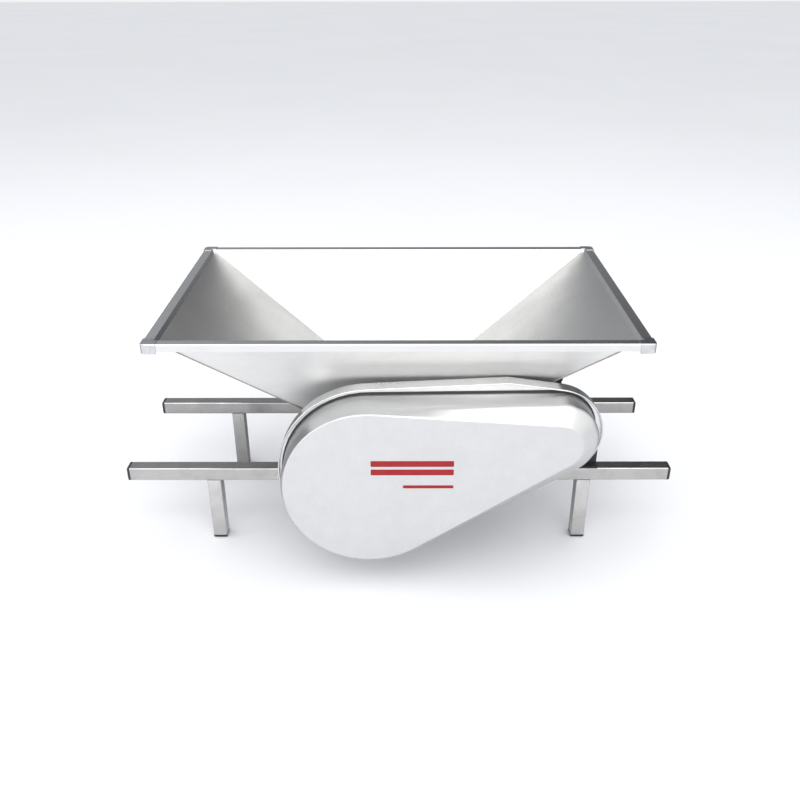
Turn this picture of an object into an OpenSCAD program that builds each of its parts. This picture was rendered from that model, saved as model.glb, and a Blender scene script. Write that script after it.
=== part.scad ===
// Motorised grape crusher. A rectangular hopper feeds two fluted rollers in a box
// carried on two rails, which lie across a vat. A motor under the right end of the
// hopper drives the rollers by a V-belt inside a pear-shaped cover at the front.
// X runs to the right, Y to the back and Z up. The origin is on the floor, midway
// between the rails and midway along them.

/* [Hopper] */
// Length of the hopper's rim
hopper_length = 950; // [940:2:960]
// Width of the hopper's rim
hopper_width = 600; // [596:2:604]
// Height of the rim's top above the floor
rim_z = 532; // [528:1:540]
// Width of the flat rim
rim_flange = 20; // [16:1:24]
// Height of the rim's folded skirt
rim_skirt = 15; // [12:1:18]
// Thickness of the hopper's sheet
sheet = 2; // [1.5:0.5:2.5]
// Length of a corner cap along each side
corner_cap = 28; // [22:1:34]

/* [Rails and legs] */
// Length of a rail's tube
rail_length = 1168; // [1140:2:1200]
// Distance between the two rails' middles
rail_centres = 307; // [305:1:309]
// Outside width of the square tube
tube = 30; // [30:1:31]
// Wall of the square tube
tube_wall = 2; // [1.5:0.5:3]
// Height of the rails' underside above the floor
rail_under = 152; // [150:1:153]
// Distance of the legs' centres from the middle
leg_offset = 403; // [380:1:430]
// Thickness of a plastic cap outside its tube
cap_lip = 6; // [3:0.5:7]

/* [Roller box] */
// Distance from the middle to the inside of an end plate
box_half_x = 119; // [119:1:122]
// Height at which the sloping end walls meet the end plates
end_foot_z = 285; // [283:1:288]
// Height at which the sloping long walls meet the box
side_foot_z = 236; // [234:1:240]
// Distance of a long plate's end from the middle
cheek_x = 150; // [148:1:156]
// Height of the discharge mouth
mouth_z = 118; // [110:1:125]

/* [Rollers] */
// Radius over a roller's flutes
roller_r = 56; // [54:0.5:57]
// Distance between the roller shafts
roller_centres = 118; // [118:0.5:120]
// Length of a roller
roller_length = 240; // [230:1:240]
// Number of flutes
flutes = 8; // [6:1:10]
// Height of the roller shafts
axle_z = 215; // [213:1:218]
// Radius of the roller shafts
axle_r = 11; // [10:0.5:12]

/* [Belt drive] */
// Belt's pitch radius on the roller pulley
big_pitch_r = 140; // [134:1:144]
// Belt's pitch radius on the motor pulley
small_pitch_r = 27; // [25:1:30]
// Where the belt's middle lies, front to back
belt_y = -290; // [-296:1:-286]

/* [Motor] */
// Motor axis, right of the middle
motor_x = 297; // [296:1:298]
// Motor axis, above the floor
motor_z = 290; // [289:1:291]
// Radius over the motor's fins
motor_r = 60; // [56:1:60]
// Radius of the motor's shaft
motor_shaft_r = 9.5; // [9:0.5:10]

/* [Belt cover] */
// Radius of the cover's large end
cover_big_r = 178; // [176:1:179]
// Radius of the cover's small end
cover_small_r = 77; // [75:1:79]
// Radius of the flat face's large end
face_big_r = 167.5; // [164:0.5:167.5]
// Radius of the flat face's small end
face_small_r = 47; // [42:1:52]
// Radius of the back pan's large end
pan_big_r = 186.5; // [185:0.5:188]
// Radius of the back pan's small end
pan_small_r = 96; // [95:0.5:99]
// Thickness of the cover's sheet
cover_sheet = 1.5; // [1.5:0.25:2]

/* [Hidden] */
$fn = 64;

rail_y = rail_centres / 2;
rail_z = rail_under + tube / 2;
rail_top = rail_under + tube;
rail_inner = rail_y - tube / 2;
rail_front = rail_y + tube / 2;
tube_bore = tube - 2 * tube_wall;

mouth_x = hopper_length / 2 - rim_flange;
mouth_y = hopper_width / 2 - rim_flange;
box_half_y = rail_inner - sheet;
end_slope = (mouth_x - box_half_x) / (rim_z - end_foot_z);
side_slope = (mouth_y - box_half_y) / (rim_z - side_foot_z);
end_skew = sheet * sqrt(1 + end_slope * end_slope);
side_skew = sheet * sqrt(1 + side_slope * side_slope);

rim_corner_r = 8;

driven_x = -roller_centres / 2;
idler_x = roller_centres / 2;
bush_r = 16;
bush_seat = 0.02;
housing_depth = 10;
housing_r = 23;
housing_ear_r = 8;
housing_bolts_x = [-24, 24];
running = 0.04;
washer_gap = 0.5;
thrust_r = 18;
collar_r = 17;
flute_r = 9;

bolt_r = 3;
bolt_hole_r = 3.2;
screw_r = 2;
screw_hole_r = 2.1;
rail_bolt_r = 4;
rail_hole_r = 4.2;
joined = 0.01;

teeth = 20;
gear_pitch_r = roller_centres / 2;
gear_y = [178, 192];
guard_back_y = 200;
guard_r = gear_pitch_r + 11;
ear_x = gear_pitch_r + guard_r + 9;
axle_rear_y = 196;

pulley_half = 11;
belt_half_depth = 4;
belt_half_top = 6.5;
belt_half_bottom = 4.2;
groove_clear = 0.4;

cover_big = [-56.5, 232.5];
cover_small = [309.5, 338];
face_big = [-59.5, 242.5];
face_small = [305, 338];
face_y = -346;
bevel_y = -319;
shell_back_y = -262;
pan_big = [-56.5, 237];
pan_small = [307, 327];
pan_peak = [214.5, 434];
peak_r = 3;
pan_front_y = -272;
pan_back_y = -238;
lip_y = shell_back_y + cover_sheet;
lip_width = 8;
tab_size = [14, 16, 2];
tab_gap = 0.6;

bracket_plate = 4;
bracket_left_x = 232;
bracket_right_x = 430;
bracket_front_right_x = 372;
upright_y = -152;
upright_left_x = 366;
upright_top = 290;
shield_y = -212;
housing_end_y = -50;
rear_shield_y = -34;
fan_cover_end_y = 16;
bearing_r = 20;
spigot_r = 30;
cut_front_y = -300;
cut_back_y = -100;
stator_r = 44;
rotor_r = 25.5;
motor_bolt_circle_r = 46;

switch_x = [284, 342];
switch_y = [-134, -54];
switch_z = [352, 395];
lid_depth = 2;
button_r = 9;
button_z = 374;
start_y = -111;
stop_y = -77;
gland_at = [306, 366];

bar_x = [-272, -160];
bar_depth = 3;
bar_bolt_x = -261;
bar_standoff_x = -190;
pan_bolts = [[254, 214], [356, 322], [262, 350]];

outboard_x = [-112, -6];
outboard_bolts_x = [-102, -16];
outboard_depth = 4;
outboard_front_y = -192;

steel = [0.78, 0.79, 0.8];
dark_steel = [0.45, 0.46, 0.48];
black = [0.08, 0.08, 0.09];
cast = [0.55, 0.57, 0.6];
nylon = [0.93, 0.92, 0.87];

// ---- helpers ----

// A flat shape drawn in X and Z, given depth from y0 to y1
module plate_xz(y0, y1)
    translate([0, y1, 0]) rotate([90, 0, 0]) linear_extrude(y1 - y0) children();

// A round rod along Y
module rod(at, r, y0, y1)
    translate([at[0], y1, at[1]]) rotate([90, 0, 0]) cylinder(r = r, h = y1 - y0);

// A ring along Y
module ring(at, r_out, r_in, y0, y1)
    difference() {
        rod(at, r_out, y0, y1);
        rod(at, r_in, y0 - 1, y1 + 1);
    }

// A box from its two corners
module block(a, b) translate(a) cube(b - a);

// A hexagon-headed bolt along Y, whose head lies on the plane y and faces the front
module hex_bolt(at, y, r, length) {
    translate([at[0], y, at[1]]) rotate([90, 0, 0]) cylinder(r = 1.75 * r, h = 1.3 * r, $fn = 6);
    rod(at, r, y - joined, y + length);
}

// A pan-headed screw along Y, whose head lies on the plane y and faces the front
module pan_screw(at, y, r, length) {
    rod(at, 1.9 * r, y - 1.1 * r, y);
    rod(at, r, y - joined, y + length);
}

// Both halves of something, mirrored front to back
module both_y() {
    children();
    mirror([0, 1, 0]) children();
}

// Both halves of something, mirrored left to right
module both_x() {
    children();
    mirror([1, 0, 0]) children();
}

// ---- rails and legs ----

// A square tube along X
module rail(y)
    color(steel) difference() {
        block([-rail_length / 2, y - tube / 2, rail_under], [rail_length / 2, y + tube / 2, rail_top]);
        translate([-rail_length / 2 - 1, y - tube_bore / 2, rail_z - tube_bore / 2])
            cube([rail_length + 2, tube_bore, tube_bore]);
    }

module front_rail()
    difference() {
        rail(-rail_y);
        color(steel) for (x = [bar_bolt_x, bar_standoff_x])
            rod([x, rail_z], rail_hole_r, -rail_front - 1, -rail_y);
    }

module rear_rail() rail(rail_y);

module legs()
    color(steel) for (sx = [-1, 1], sy = [-1, 1]) translate([sx * leg_offset, sy * rail_y, 0])
        difference() {
            block([-tube / 2, -tube / 2, cap_lip], [tube / 2, tube / 2, rail_under]);
            translate([-tube_bore / 2, -tube_bore / 2, 0]) cube([tube_bore, tube_bore, rail_under + 1]);
        }

// A plug whose lip covers a tube's end, pointing to +Z
module tube_plug() {
    plug = tube_bore - 0.4;
    linear_extrude(cap_lip) offset(r = 2, $fn = 24) square(tube - 4, center = true);
    translate([-plug / 2, -plug / 2, -14]) cube([plug, plug, 14.01]);
}

module rail_end_caps()
    color(black) both_x() both_y()
        translate([rail_length / 2, rail_y, rail_z]) rotate([0, 90, 0]) tube_plug();

module foot_caps()
    color(black) for (sx = [-1, 1], sy = [-1, 1])
        translate([sx * leg_offset, sy * rail_y, cap_lip]) rotate([180, 0, 0]) tube_plug();

// ---- hopper ----

// Half sizes of the hopper's inner faces at height z
function inner_x(z) = mouth_x - end_slope * (rim_z - z);
function inner_y(z) = mouth_y - side_slope * (rim_z - z);

// A slab between two four-sided faces
module slab(a, b)
    polyhedron(points = concat(a, b), faces = [
        [0, 1, 2, 3], [7, 6, 5, 4], [0, 4, 5, 1], [1, 5, 6, 2], [2, 6, 7, 3], [3, 7, 4, 0]
    ]);

// The long wall at +Y: mitred where it meets the end walls, square below them
module long_wall() {
    foot_x = box_half_x + end_skew;
    hull() slab(
        [for (p = [[-1, rim_z], [1, rim_z], [1, end_foot_z], [-1, end_foot_z]])
            [p[0] * inner_x(p[1]), inner_y(p[1]), p[1]]],
        [for (p = [[-1, rim_z], [1, rim_z], [1, end_foot_z], [-1, end_foot_z]])
            [p[0] * (inner_x(p[1]) + end_skew), inner_y(p[1]) + side_skew, p[1]]]);
    hull() slab(
        [for (p = [[-1, end_foot_z], [1, end_foot_z], [1, side_foot_z], [-1, side_foot_z]])
            [p[0] * foot_x, inner_y(p[1]), p[1]]],
        [for (p = [[-1, end_foot_z], [1, end_foot_z], [1, side_foot_z], [-1, side_foot_z]])
            [p[0] * foot_x, inner_y(p[1]) + side_skew, p[1]]]);
}

// The end wall at +X, mitred into the long walls
module end_wall()
    hull() slab(
        [for (p = [[-1, rim_z], [1, rim_z], [1, end_foot_z], [-1, end_foot_z]])
            [inner_x(p[1]), p[0] * inner_y(p[1]), p[1]]],
        [for (p = [[-1, rim_z], [1, rim_z], [1, end_foot_z], [-1, end_foot_z]])
            [inner_x(p[1]) + end_skew, p[0] * (inner_y(p[1]) + side_skew), p[1]]]);

module hopper_front_wall() color(steel) mirror([0, 1, 0]) long_wall();
module hopper_rear_wall() color(steel) long_wall();
module hopper_left_wall() color(steel) mirror([1, 0, 0]) end_wall();
module hopper_right_wall() color(steel) end_wall();

// The four corners of the walls' outside at height z
function outside_corners(z) =
    let (x = inner_x(z) + end_skew, y = inner_y(z) + side_skew)
    [[-x, -y, z], [x, -y, z], [x, y, z], [-x, y, z]];

// A block with rounded upright edges, centred on the origin
module rounded_block(x, y, r, z0, z1) {
    block([-x, r - y, z0], [x, y - r, z1]);
    block([r - x, -y, z0], [x - r, y, z1]);
    for (sx = [-1, 1], sy = [-1, 1])
        translate([sx * (x - r), sy * (y - r), z0]) cylinder(r = r, h = z1 - z0);
}

// The flat rim and its skirt
module rim_frame() {
    x = hopper_length / 2;
    y = hopper_width / 2;
    color(steel) difference() {
        rounded_block(x, y, rim_corner_r, rim_z - rim_skirt, rim_z);
        rounded_block(x - sheet, y - sheet, rim_corner_r - sheet, rim_z - rim_skirt - 1, rim_z - sheet);
        hull() slab(outside_corners(rim_z + 5), outside_corners(rim_z - 40));
    }
}

// A cap pressed over the rim's corner: a rounded skirt and a thin top
module corner_cap_solid() {
    wall = 2;
    top = 1;
    drop = 19;
    reach = corner_cap + 1;
    translate([hopper_length / 2, hopper_width / 2, rim_z - drop]) difference() {
        linear_extrude(drop + top) difference() {
            hull() {
                translate([-rim_corner_r, -rim_corner_r]) circle(r = rim_corner_r + wall, $fn = 48);
                translate([-corner_cap, 0]) square(wall);
                translate([0, -corner_cap]) square(wall);
                translate([-corner_cap, -corner_cap]) square(wall);
            }
            translate([-reach, -reach]) square(reach - rim_flange + wall);
        }
        translate([0, 0, -1]) linear_extrude(drop + 1) {
            translate([-reach, -reach]) square([reach, reach - rim_corner_r]);
            translate([-reach, -reach]) square([reach - rim_corner_r, reach]);
            translate([-rim_corner_r, -rim_corner_r]) circle(r = rim_corner_r, $fn = 48);
        }
    }
}

module rim_corner_caps() color(dark_steel) both_x() both_y() corner_cap_solid();

// ---- roller box ----

// A long plate of the box at +Y, below the hopper's long wall
module box_long_plate(front)
    difference() {
        block([-cheek_x, box_half_y, mouth_z], [cheek_x, rail_inner, side_foot_z]);
        for (x = front ? [driven_x] : [driven_x, idler_x])
            rod([x, axle_z], axle_r + 1, box_half_y - 1, rail_inner + 1);
        for (x = [driven_x, idler_x], dx = housing_bolts_x)
            rod([x + dx, axle_z], bolt_hole_r, box_half_y - 1, rail_inner + 1);
        if (!front) for (side = [-1, 1])
            rod([side * ear_x, axle_z], screw_hole_r, box_half_y - 1, rail_inner + 1);
    }

module box_front_plate() color(steel) mirror([0, 1, 0]) box_long_plate(true);
module box_rear_plate() color(steel) box_long_plate(false);

// An end plate of the box at +X: it widens upwards between the sloping walls
module box_end_plate()
    translate([box_half_x, 0, 0]) rotate([90, 0, 90]) linear_extrude(sheet)
        polygon([
            [-box_half_y, mouth_z], [box_half_y, mouth_z], [box_half_y, side_foot_z],
            [inner_y(end_foot_z), end_foot_z], [-inner_y(end_foot_z), end_foot_z],
            [-box_half_y, side_foot_z]
        ]);

module box_left_plate() color(steel) mirror([1, 0, 0]) box_end_plate();
module box_right_plate() color(steel) box_end_plate();

// A flanged housing on the inside of the box, for one bush
module housing(x)
    difference() {
        plate_xz(box_half_y - housing_depth, box_half_y) hull() {
            translate([x, axle_z]) circle(r = housing_r, $fn = 48);
            for (dx = housing_bolts_x) translate([x + dx, axle_z]) circle(r = housing_ear_r, $fn = 32);
        }
        rod([x, axle_z], bush_r, 0, rail_inner);
        for (dx = housing_bolts_x) rod([x + dx, axle_z], bolt_hole_r, 0, rail_inner);
    }

module bearing_housings()
    color(cast) for (x = [driven_x, idler_x]) both_y() housing(x);

// A plate on the front rail that carries the bearing next to the pulley
module outboard_plate()
    color(dark_steel) difference() {
        plate_xz(-rail_front - outboard_depth, -rail_front) polygon([
            [outboard_x[0], rail_under + 2], [outboard_x[1], rail_under + 2],
            [outboard_x[1], axle_z], [driven_x + 30, axle_z + 34],
            [driven_x - 30, axle_z + 34], [outboard_x[0], axle_z]
        ]);
        rod([driven_x, axle_z], axle_r + 2, cut_front_y, cut_back_y);
        for (x = outboard_bolts_x) rod([x, rail_z], bolt_hole_r, cut_front_y, cut_back_y);
    }

module outboard_housing()
    color(cast) ring([driven_x, axle_z], 27, bush_r, outboard_front_y, -rail_front - outboard_depth);

module shaft_bushes()
    color(nylon) {
        for (x = [driven_x, idler_x]) both_y()
            ring([x, axle_z], bush_r - bush_seat, axle_r + running, box_half_y - housing_depth, box_half_y);
        ring([driven_x, axle_z], bush_r - bush_seat, axle_r + running,
             outboard_front_y, -rail_front - outboard_depth);
    }

module housing_bolts()
    color(dark_steel) {
        for (x = [driven_x, idler_x], dx = housing_bolts_x)
            both_y() hex_bolt([x + dx, axle_z], -rail_inner, bolt_r, 12);
        for (x = outboard_bolts_x) hex_bolt([x, rail_z], -rail_front - outboard_depth, bolt_r, 4);
    }

// ---- rollers and their shafts ----

module roller(x)
    difference() {
        plate_xz(-roller_length / 2, roller_length / 2) translate([x, axle_z]) {
            circle(r = roller_r - flute_r);
            for (i = [0:flutes - 1]) rotate(360 / flutes * (i + 0.5))
                translate([roller_r - flute_r, 0]) circle(r = flute_r, $fn = 32);
        }
        rod([x, axle_z], axle_r, -roller_length, roller_length);
    }

module thrust_washers(x)
    both_y() ring([x, axle_z], thrust_r, axle_r, roller_length / 2, box_half_y - housing_depth - washer_gap);

// Outline of a spur gear: straight-flanked teeth with backlash
function gear_outline(n, pitch_r, turn) =
    let (step = 360 / n, tip = pitch_r + 5, root = pitch_r - 7,
         flank = [[root, 6.4], [pitch_r, 4.2], [tip, 2.4]])
    [for (i = [0:n - 1], k = [0:5])
        let (f = flank[k < 3 ? k : 5 - k], side = k < 3 ? -1 : 1,
             a = turn + i * step + side * atan2(f[1], f[0]))
        [f[0] * cos(a), f[0] * sin(a)]];

module gear(x, turn)
    difference() {
        union() {
            plate_xz(gear_y[0], gear_y[1]) translate([x, axle_z])
                polygon(gear_outline(teeth, gear_pitch_r, turn));
            rod([x, axle_z], 20, gear_y[0] - 6, gear_y[0] + 1);
        }
        rod([x, axle_z], axle_r, 0, guard_back_y);
    }

module driven_shaft() color(steel) rod([driven_x, axle_z], axle_r, belt_y - 14, axle_rear_y);
module driven_roller() color(nylon) roller(driven_x);
module driven_thrust_washers() color(dark_steel) thrust_washers(driven_x);
module driven_gear() color(cast) gear(driven_x, 0);

module idler_shaft() color(steel) rod([idler_x, axle_z], axle_r, -box_half_y, axle_rear_y);
module idler_roller() color(nylon) roller(idler_x);
module idler_thrust_washers() color(dark_steel) thrust_washers(idler_x);
module idler_gear() color(cast) gear(idler_x, 180 / teeth);

// A clamp collar at the shaft's rear end, against the gear
module end_collar(x) ring([x, axle_z], collar_r, axle_r, gear_y[1], axle_rear_y);

module driven_collar() color(dark_steel) end_collar(driven_x);
module idler_collar() color(dark_steel) end_collar(idler_x);

// ---- gear guard ----

module guard_outline(r)
    hull() for (x = [driven_x, idler_x]) translate([x, axle_z]) circle(r = r, $fn = 64);

// The space taken by the hopper's long wall at +Y, with a little clearance
module long_wall_space() {
    reach = side_skew + 0.4;
    translate([-cheek_x, 0, 0]) rotate([90, 0, 90]) linear_extrude(2 * cheek_x) polygon([
        [0, side_foot_z], [box_half_y + reach, side_foot_z], [inner_y(rim_z) + reach, rim_z], [0, rim_z]
    ]);
}

// A casing behind the rear plate, closed at the back and cut round the rail and the hopper
module gear_guard() {
    wall = 1.5;
    color(steel) difference() {
        union() {
            plate_xz(rail_inner, guard_back_y + wall) guard_outline(guard_r + wall);
            for (side = [-1, 1])
                plate_xz(rail_inner, rail_inner + 2) hull() for (reach = [0, 12])
                    translate([side * (ear_x - reach), axle_z]) circle(r = 8, $fn = 32);
        }
        plate_xz(rail_inner - 1, guard_back_y) guard_outline(guard_r);
        block([-200, 0, rail_under - 0.5], [200, rail_front + 0.5, rail_top + 0.5]);
        long_wall_space();
        for (side = [-1, 1]) rod([side * ear_x, axle_z], screw_hole_r, 0, guard_back_y);
    }
}

module guard_screws()
    color(dark_steel) for (side = [-1, 1]) mirror([0, 1, 0])
        pan_screw([side * ear_x, axle_z], -rail_inner - 2, screw_r, 6);

// ---- belt drive ----

// Radius of the pulley's rim and of its groove's floor, for a belt of this pitch radius
function rim_r(pitch_r) = pitch_r + belt_half_depth + 3;
function floor_r(pitch_r) = pitch_r - belt_half_depth - 3;

// A V groove's outline in radius and width, wider than the belt by the clearance
module groove(pitch_r) {
    slope = (belt_half_top - belt_half_bottom) / (2 * belt_half_depth);
    wide = belt_half_top + groove_clear + 4 * slope;
    narrow = belt_half_bottom + groove_clear - 3 * slope;
    polygon([
        [floor_r(pitch_r), -narrow], [rim_r(pitch_r) + 1, -wide],
        [rim_r(pitch_r) + 1, wide], [floor_r(pitch_r), narrow]
    ]);
}

// A pulley about the local axis, from its radial section
module pulley_body(pitch_r, rim_depth, web_half, hub_r, bore_r)
    rotate_extrude($fn = 128) difference() {
        union() {
            translate([rim_r(pitch_r) - rim_depth, -pulley_half]) square([rim_depth, 2 * pulley_half]);
            translate([bore_r, -web_half]) square([rim_r(pitch_r) - rim_depth + 1 - bore_r, 2 * web_half]);
            translate([bore_r, -pulley_half]) square([hub_r - bore_r, 2 * pulley_half]);
        }
        groove(pitch_r);
    }

module large_pulley()
    color(cast) translate([driven_x, belt_y, axle_z]) rotate([90, 0, 0]) difference() {
        pulley_body(big_pitch_r, 24, 4, 26, axle_r);
        for (i = [0:5]) rotate(60 * i) translate([(big_pitch_r + 12) / 2, 0, -20])
            cylinder(r = 26, h = 40);
    }

// The washer and bolt on the shaft's front end
module pulley_fastener()
    color(dark_steel) {
        rod([driven_x, axle_z], 16, belt_y - 17, belt_y - 14);
        translate([driven_x, belt_y - 17, axle_z]) rotate([90, 0, 0]) cylinder(r = 7.5, h = 5, $fn = 6);
    }

module motor_pulley()
    color(cast) translate([motor_x, belt_y, motor_z]) rotate([90, 0, 0])
        pulley_body(small_pitch_r, rim_r(small_pitch_r) - motor_shaft_r - 2, 4, 16, motor_shaft_r);

// The belt: two arcs and two straight runs of one V section
module v_belt() {
    dx = motor_x - driven_x;
    dz = motor_z - axle_z;
    centres = sqrt(dx * dx + dz * dz);
    heading = atan2(dz, dx);
    touch = acos((big_pitch_r - small_pitch_r) / centres);
    run = centres * sin(touch);
    overlap = 0.02;
    section = [
        [-belt_half_depth, -belt_half_bottom], [belt_half_depth, -belt_half_top],
        [belt_half_depth, belt_half_top], [-belt_half_depth, belt_half_bottom]
    ];
    color(black) translate([driven_x, belt_y, axle_z]) rotate([90, 0, 0]) rotate(heading) {
        rotate(touch) rotate_extrude(angle = 360 - 2 * touch, $fn = 128)
            translate([big_pitch_r, 0]) polygon(section);
        translate([centres, 0]) rotate(-touch) rotate_extrude(angle = 2 * touch, $fn = 128)
            translate([small_pitch_r, 0]) polygon(section);
        for (side = [-1, 1]) rotate(side * touch) translate([big_pitch_r, side * overlap, 0])
            rotate([90 * side, 0, 0]) linear_extrude(run + 2 * overlap) polygon(section);
    }
}

// ---- motor ----

module rotate_about_motor(angle)
    translate([motor_x, 0, motor_z]) rotate([0, -angle, 0]) translate([-motor_x, 0, -motor_z])
        children();

// The motor's bracket: a base on the rail, a front plate and a right-hand upright
module motor_bracket()
    color(dark_steel) difference() {
        union() {
            plate_xz(pan_back_y, pan_back_y + bracket_plate) polygon([
                [bracket_left_x, rail_top], [bracket_left_x + 20, rail_top],
                [bracket_front_right_x, 262], [bracket_front_right_x, 330],
                [bracket_front_right_x - 30, 362], [bracket_left_x + 12, 362], [bracket_left_x, 350]
            ]);
            block([bracket_left_x, -rail_front - 1, rail_top],
                  [bracket_right_x, -rail_inner - 1, rail_top + bracket_plate]);
            block([bracket_left_x, pan_back_y, rail_top],
                  [bracket_left_x + 24, -rail_front, rail_top + bracket_plate]);
            block([bracket_left_x, pan_back_y, rail_top],
                  [bracket_left_x + bracket_plate, -rail_inner - 1, 228]);
            plate_xz(upright_y, upright_y + bracket_plate) polygon([
                [upright_left_x, rail_top], [bracket_right_x, rail_top],
                [bracket_right_x, upright_top - 24], [bracket_right_x - 24, upright_top],
                [upright_left_x, upright_top]
            ]);
            translate([upright_left_x, 0, 0]) rotate([90, 0, 90]) linear_extrude(bracket_plate)
                polygon([
                    [pan_back_y, 270], [pan_back_y, 326], [upright_y + 1, upright_top],
                    [upright_y + 1, rail_top], [-rail_front, rail_top]
                ]);
        }
        rod([motor_x, motor_z], spigot_r, cut_front_y, cut_back_y);
        for (i = [0:3]) rotate_about_motor(45 + 90 * i)
            rod([motor_x + motor_bolt_circle_r, motor_z], bolt_hole_r, cut_front_y, cut_back_y);
        for (p = pan_bolts) rod(p, bolt_hole_r, cut_front_y, cut_back_y);
    }

module motor_front_shield() {
    face = pan_back_y + bracket_plate;
    color(cast) difference() {
        union() {
            rod([motor_x, motor_z], motor_r, face, shield_y);
            rod([motor_x, motor_z], spigot_r - 0.1, pan_back_y + 0.5, face + 0.01);
        }
        rod([motor_x, motor_z], bearing_r, face + 4, shield_y + 1);
        rod([motor_x, motor_z], motor_shaft_r + 1.5, cut_front_y, shield_y);
        for (i = [0:3]) rotate_about_motor(45 + 90 * i)
            rod([motor_x + motor_bolt_circle_r, motor_z], bolt_r, cut_front_y, face + 12);
    }
}

// A ribbed tube with a flat pad on top for the switch box
module motor_housing() {
    core_r = motor_r - 8;
    color(cast) difference() {
        union() {
            rod([motor_x, motor_z], core_r, shield_y, housing_end_y);
            for (i = [0:29]) rotate_about_motor(12 * i)
                block([motor_x + core_r - 1, shield_y, motor_z - 1.1],
                      [motor_x + motor_r - 0.5, housing_end_y, motor_z + 1.1]);
            block([motor_x - 10, switch_y[0] + 8, motor_z + core_r - 20],
                  [motor_x + 34, switch_y[1] - 8, switch_z[0]]);
        }
        rod([motor_x, motor_z], stator_r, shield_y - 1, housing_end_y + 1);
    }
}

module motor_rear_shield()
    color(cast) difference() {
        rod([motor_x, motor_z], motor_r - 4, housing_end_y, rear_shield_y);
        rod([motor_x, motor_z], bearing_r, housing_end_y - 1, rear_shield_y - 4);
        rod([motor_x, motor_z], motor_shaft_r + 1.5, housing_end_y - 1, rear_shield_y + 1);
    }

module motor_bearings()
    color(steel) {
        ring([motor_x, motor_z], bearing_r - bush_seat, motor_shaft_r + running,
             pan_back_y + bracket_plate + 4, shield_y - 4);
        ring([motor_x, motor_z], bearing_r - bush_seat, motor_shaft_r + running,
             housing_end_y, rear_shield_y - 4);
    }

module motor_stator()
    color([0.72, 0.42, 0.2]) difference() {
        union() {
            rod([motor_x, motor_z], stator_r - bush_seat, -180, -84);
            rod([motor_x, motor_z], stator_r - 6, -196, -66);
        }
        rod([motor_x, motor_z], rotor_r + 0.6, -200, -60);
    }

// A cup over the fan, with rings of air holes in its back
module motor_fan_cover() {
    wall = 1.5;
    cup_r = motor_r - 2;
    color(dark_steel) difference() {
        rod([motor_x, motor_z], cup_r, rear_shield_y - 10, fan_cover_end_y);
        rod([motor_x, motor_z], cup_r - wall, rear_shield_y - 11, fan_cover_end_y - wall);
        for (ring_i = [1:4], i = [0:6 * ring_i - 1]) rotate_about_motor(60 / ring_i * i)
            rod([motor_x + 10.5 * ring_i, motor_z], 3.4, 0, 30);
    }
}

module motor_bolts()
    color(steel) for (i = [0:3]) rotate_about_motor(45 + 90 * i)
        hex_bolt([motor_x + motor_bolt_circle_r, motor_z], pan_back_y - cover_sheet, bolt_r, 16);

module motor_shaft()
    color(steel) rod([motor_x, motor_z], motor_shaft_r, belt_y - 13, 0);

module motor_rotor()
    color(dark_steel) ring([motor_x, motor_z], rotor_r, motor_shaft_r, -180, -84);

module motor_fan()
    color(black) difference() {
        union() {
            rod([motor_x, motor_z], 16, -28, -4);
            rod([motor_x, motor_z], 48, -28, -26);
            for (i = [0:7]) rotate_about_motor(45 * i)
                block([motor_x + 14, -27, motor_z - 1], [motor_x + 48, -8, motor_z + 1]);
        }
        rod([motor_x, motor_z], motor_shaft_r, -50, 50);
    }

// ---- switch box ----

// A cylinder along X, from x0 to x1
module rod_x(y, z, r, x0, x1)
    translate([x0, y, z]) rotate([0, 90, 0]) cylinder(r = r, h = x1 - x0);

module switch_box()
    color([0.2, 0.21, 0.23]) difference() {
        block([switch_x[0], switch_y[0], switch_z[0]], [switch_x[1] - lid_depth, switch_y[1], switch_z[1]]);
        block([switch_x[0] + 2, switch_y[0] + 2, switch_z[0] + 2],
              [switch_x[1], switch_y[1] - 2, switch_z[1] - 2]);
        rod(gland_at, 8, switch_y[1] - 5, switch_y[1] + 5);
    }

module switch_box_lid()
    color([0.2, 0.21, 0.23]) difference() {
        block([switch_x[1] - lid_depth, switch_y[0], switch_z[0]], [switch_x[1], switch_y[1], switch_z[1]]);
        for (y = [start_y, stop_y]) rod_x(y, button_z, button_r + 0.3, switch_x[1] - 10, switch_x[1] + 10);
        for (y = [switch_y[0] + 5, switch_y[1] - 5], z = [switch_z[0] + 5, switch_z[1] - 5])
            rod_x(y, z, 1.6, switch_x[1] - 10, switch_x[1] + 10);
    }

module switch_box_screws()
    color(steel) for (y = [switch_y[0] + 5, switch_y[1] - 5], z = [switch_z[0] + 5, switch_z[1] - 5]) {
        rod_x(y, z, 3, switch_x[1], switch_x[1] + 1.8);
        rod_x(y, z, 1.5, switch_x[1] - lid_depth, switch_x[1] + 0.01);
    }

// A screwed gland whose bore takes the mains lead
module cable_gland()
    color(black) difference() {
        union() {
            rod(gland_at, 8, switch_y[1] - 8, switch_y[1] + 1);
            translate([gland_at[0], switch_y[1] + 7, gland_at[1]]) rotate([90, 0, 0])
                cylinder(r = 11, h = 7, $fn = 6);
            rod(gland_at, 8.6, switch_y[1] + 6, switch_y[1] + 18);
        }
        rod(gland_at, 4.5, switch_y[1] - 20, switch_y[1] + 20);
    }

// A push button along X: its cap stands out of the lid and its collar stays behind it
module button(y) {
    rod_x(y, button_z, button_r, switch_x[1] - 7, switch_x[1] + 5);
    rod_x(y, button_z, button_r + 2, switch_x[1] - 10, switch_x[1] - lid_depth - 1);
}

module start_button() color([0.1, 0.55, 0.2]) button(start_y);
module stop_button() color([0.75, 0.08, 0.08]) button(stop_y);

// ---- belt cover ----

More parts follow.
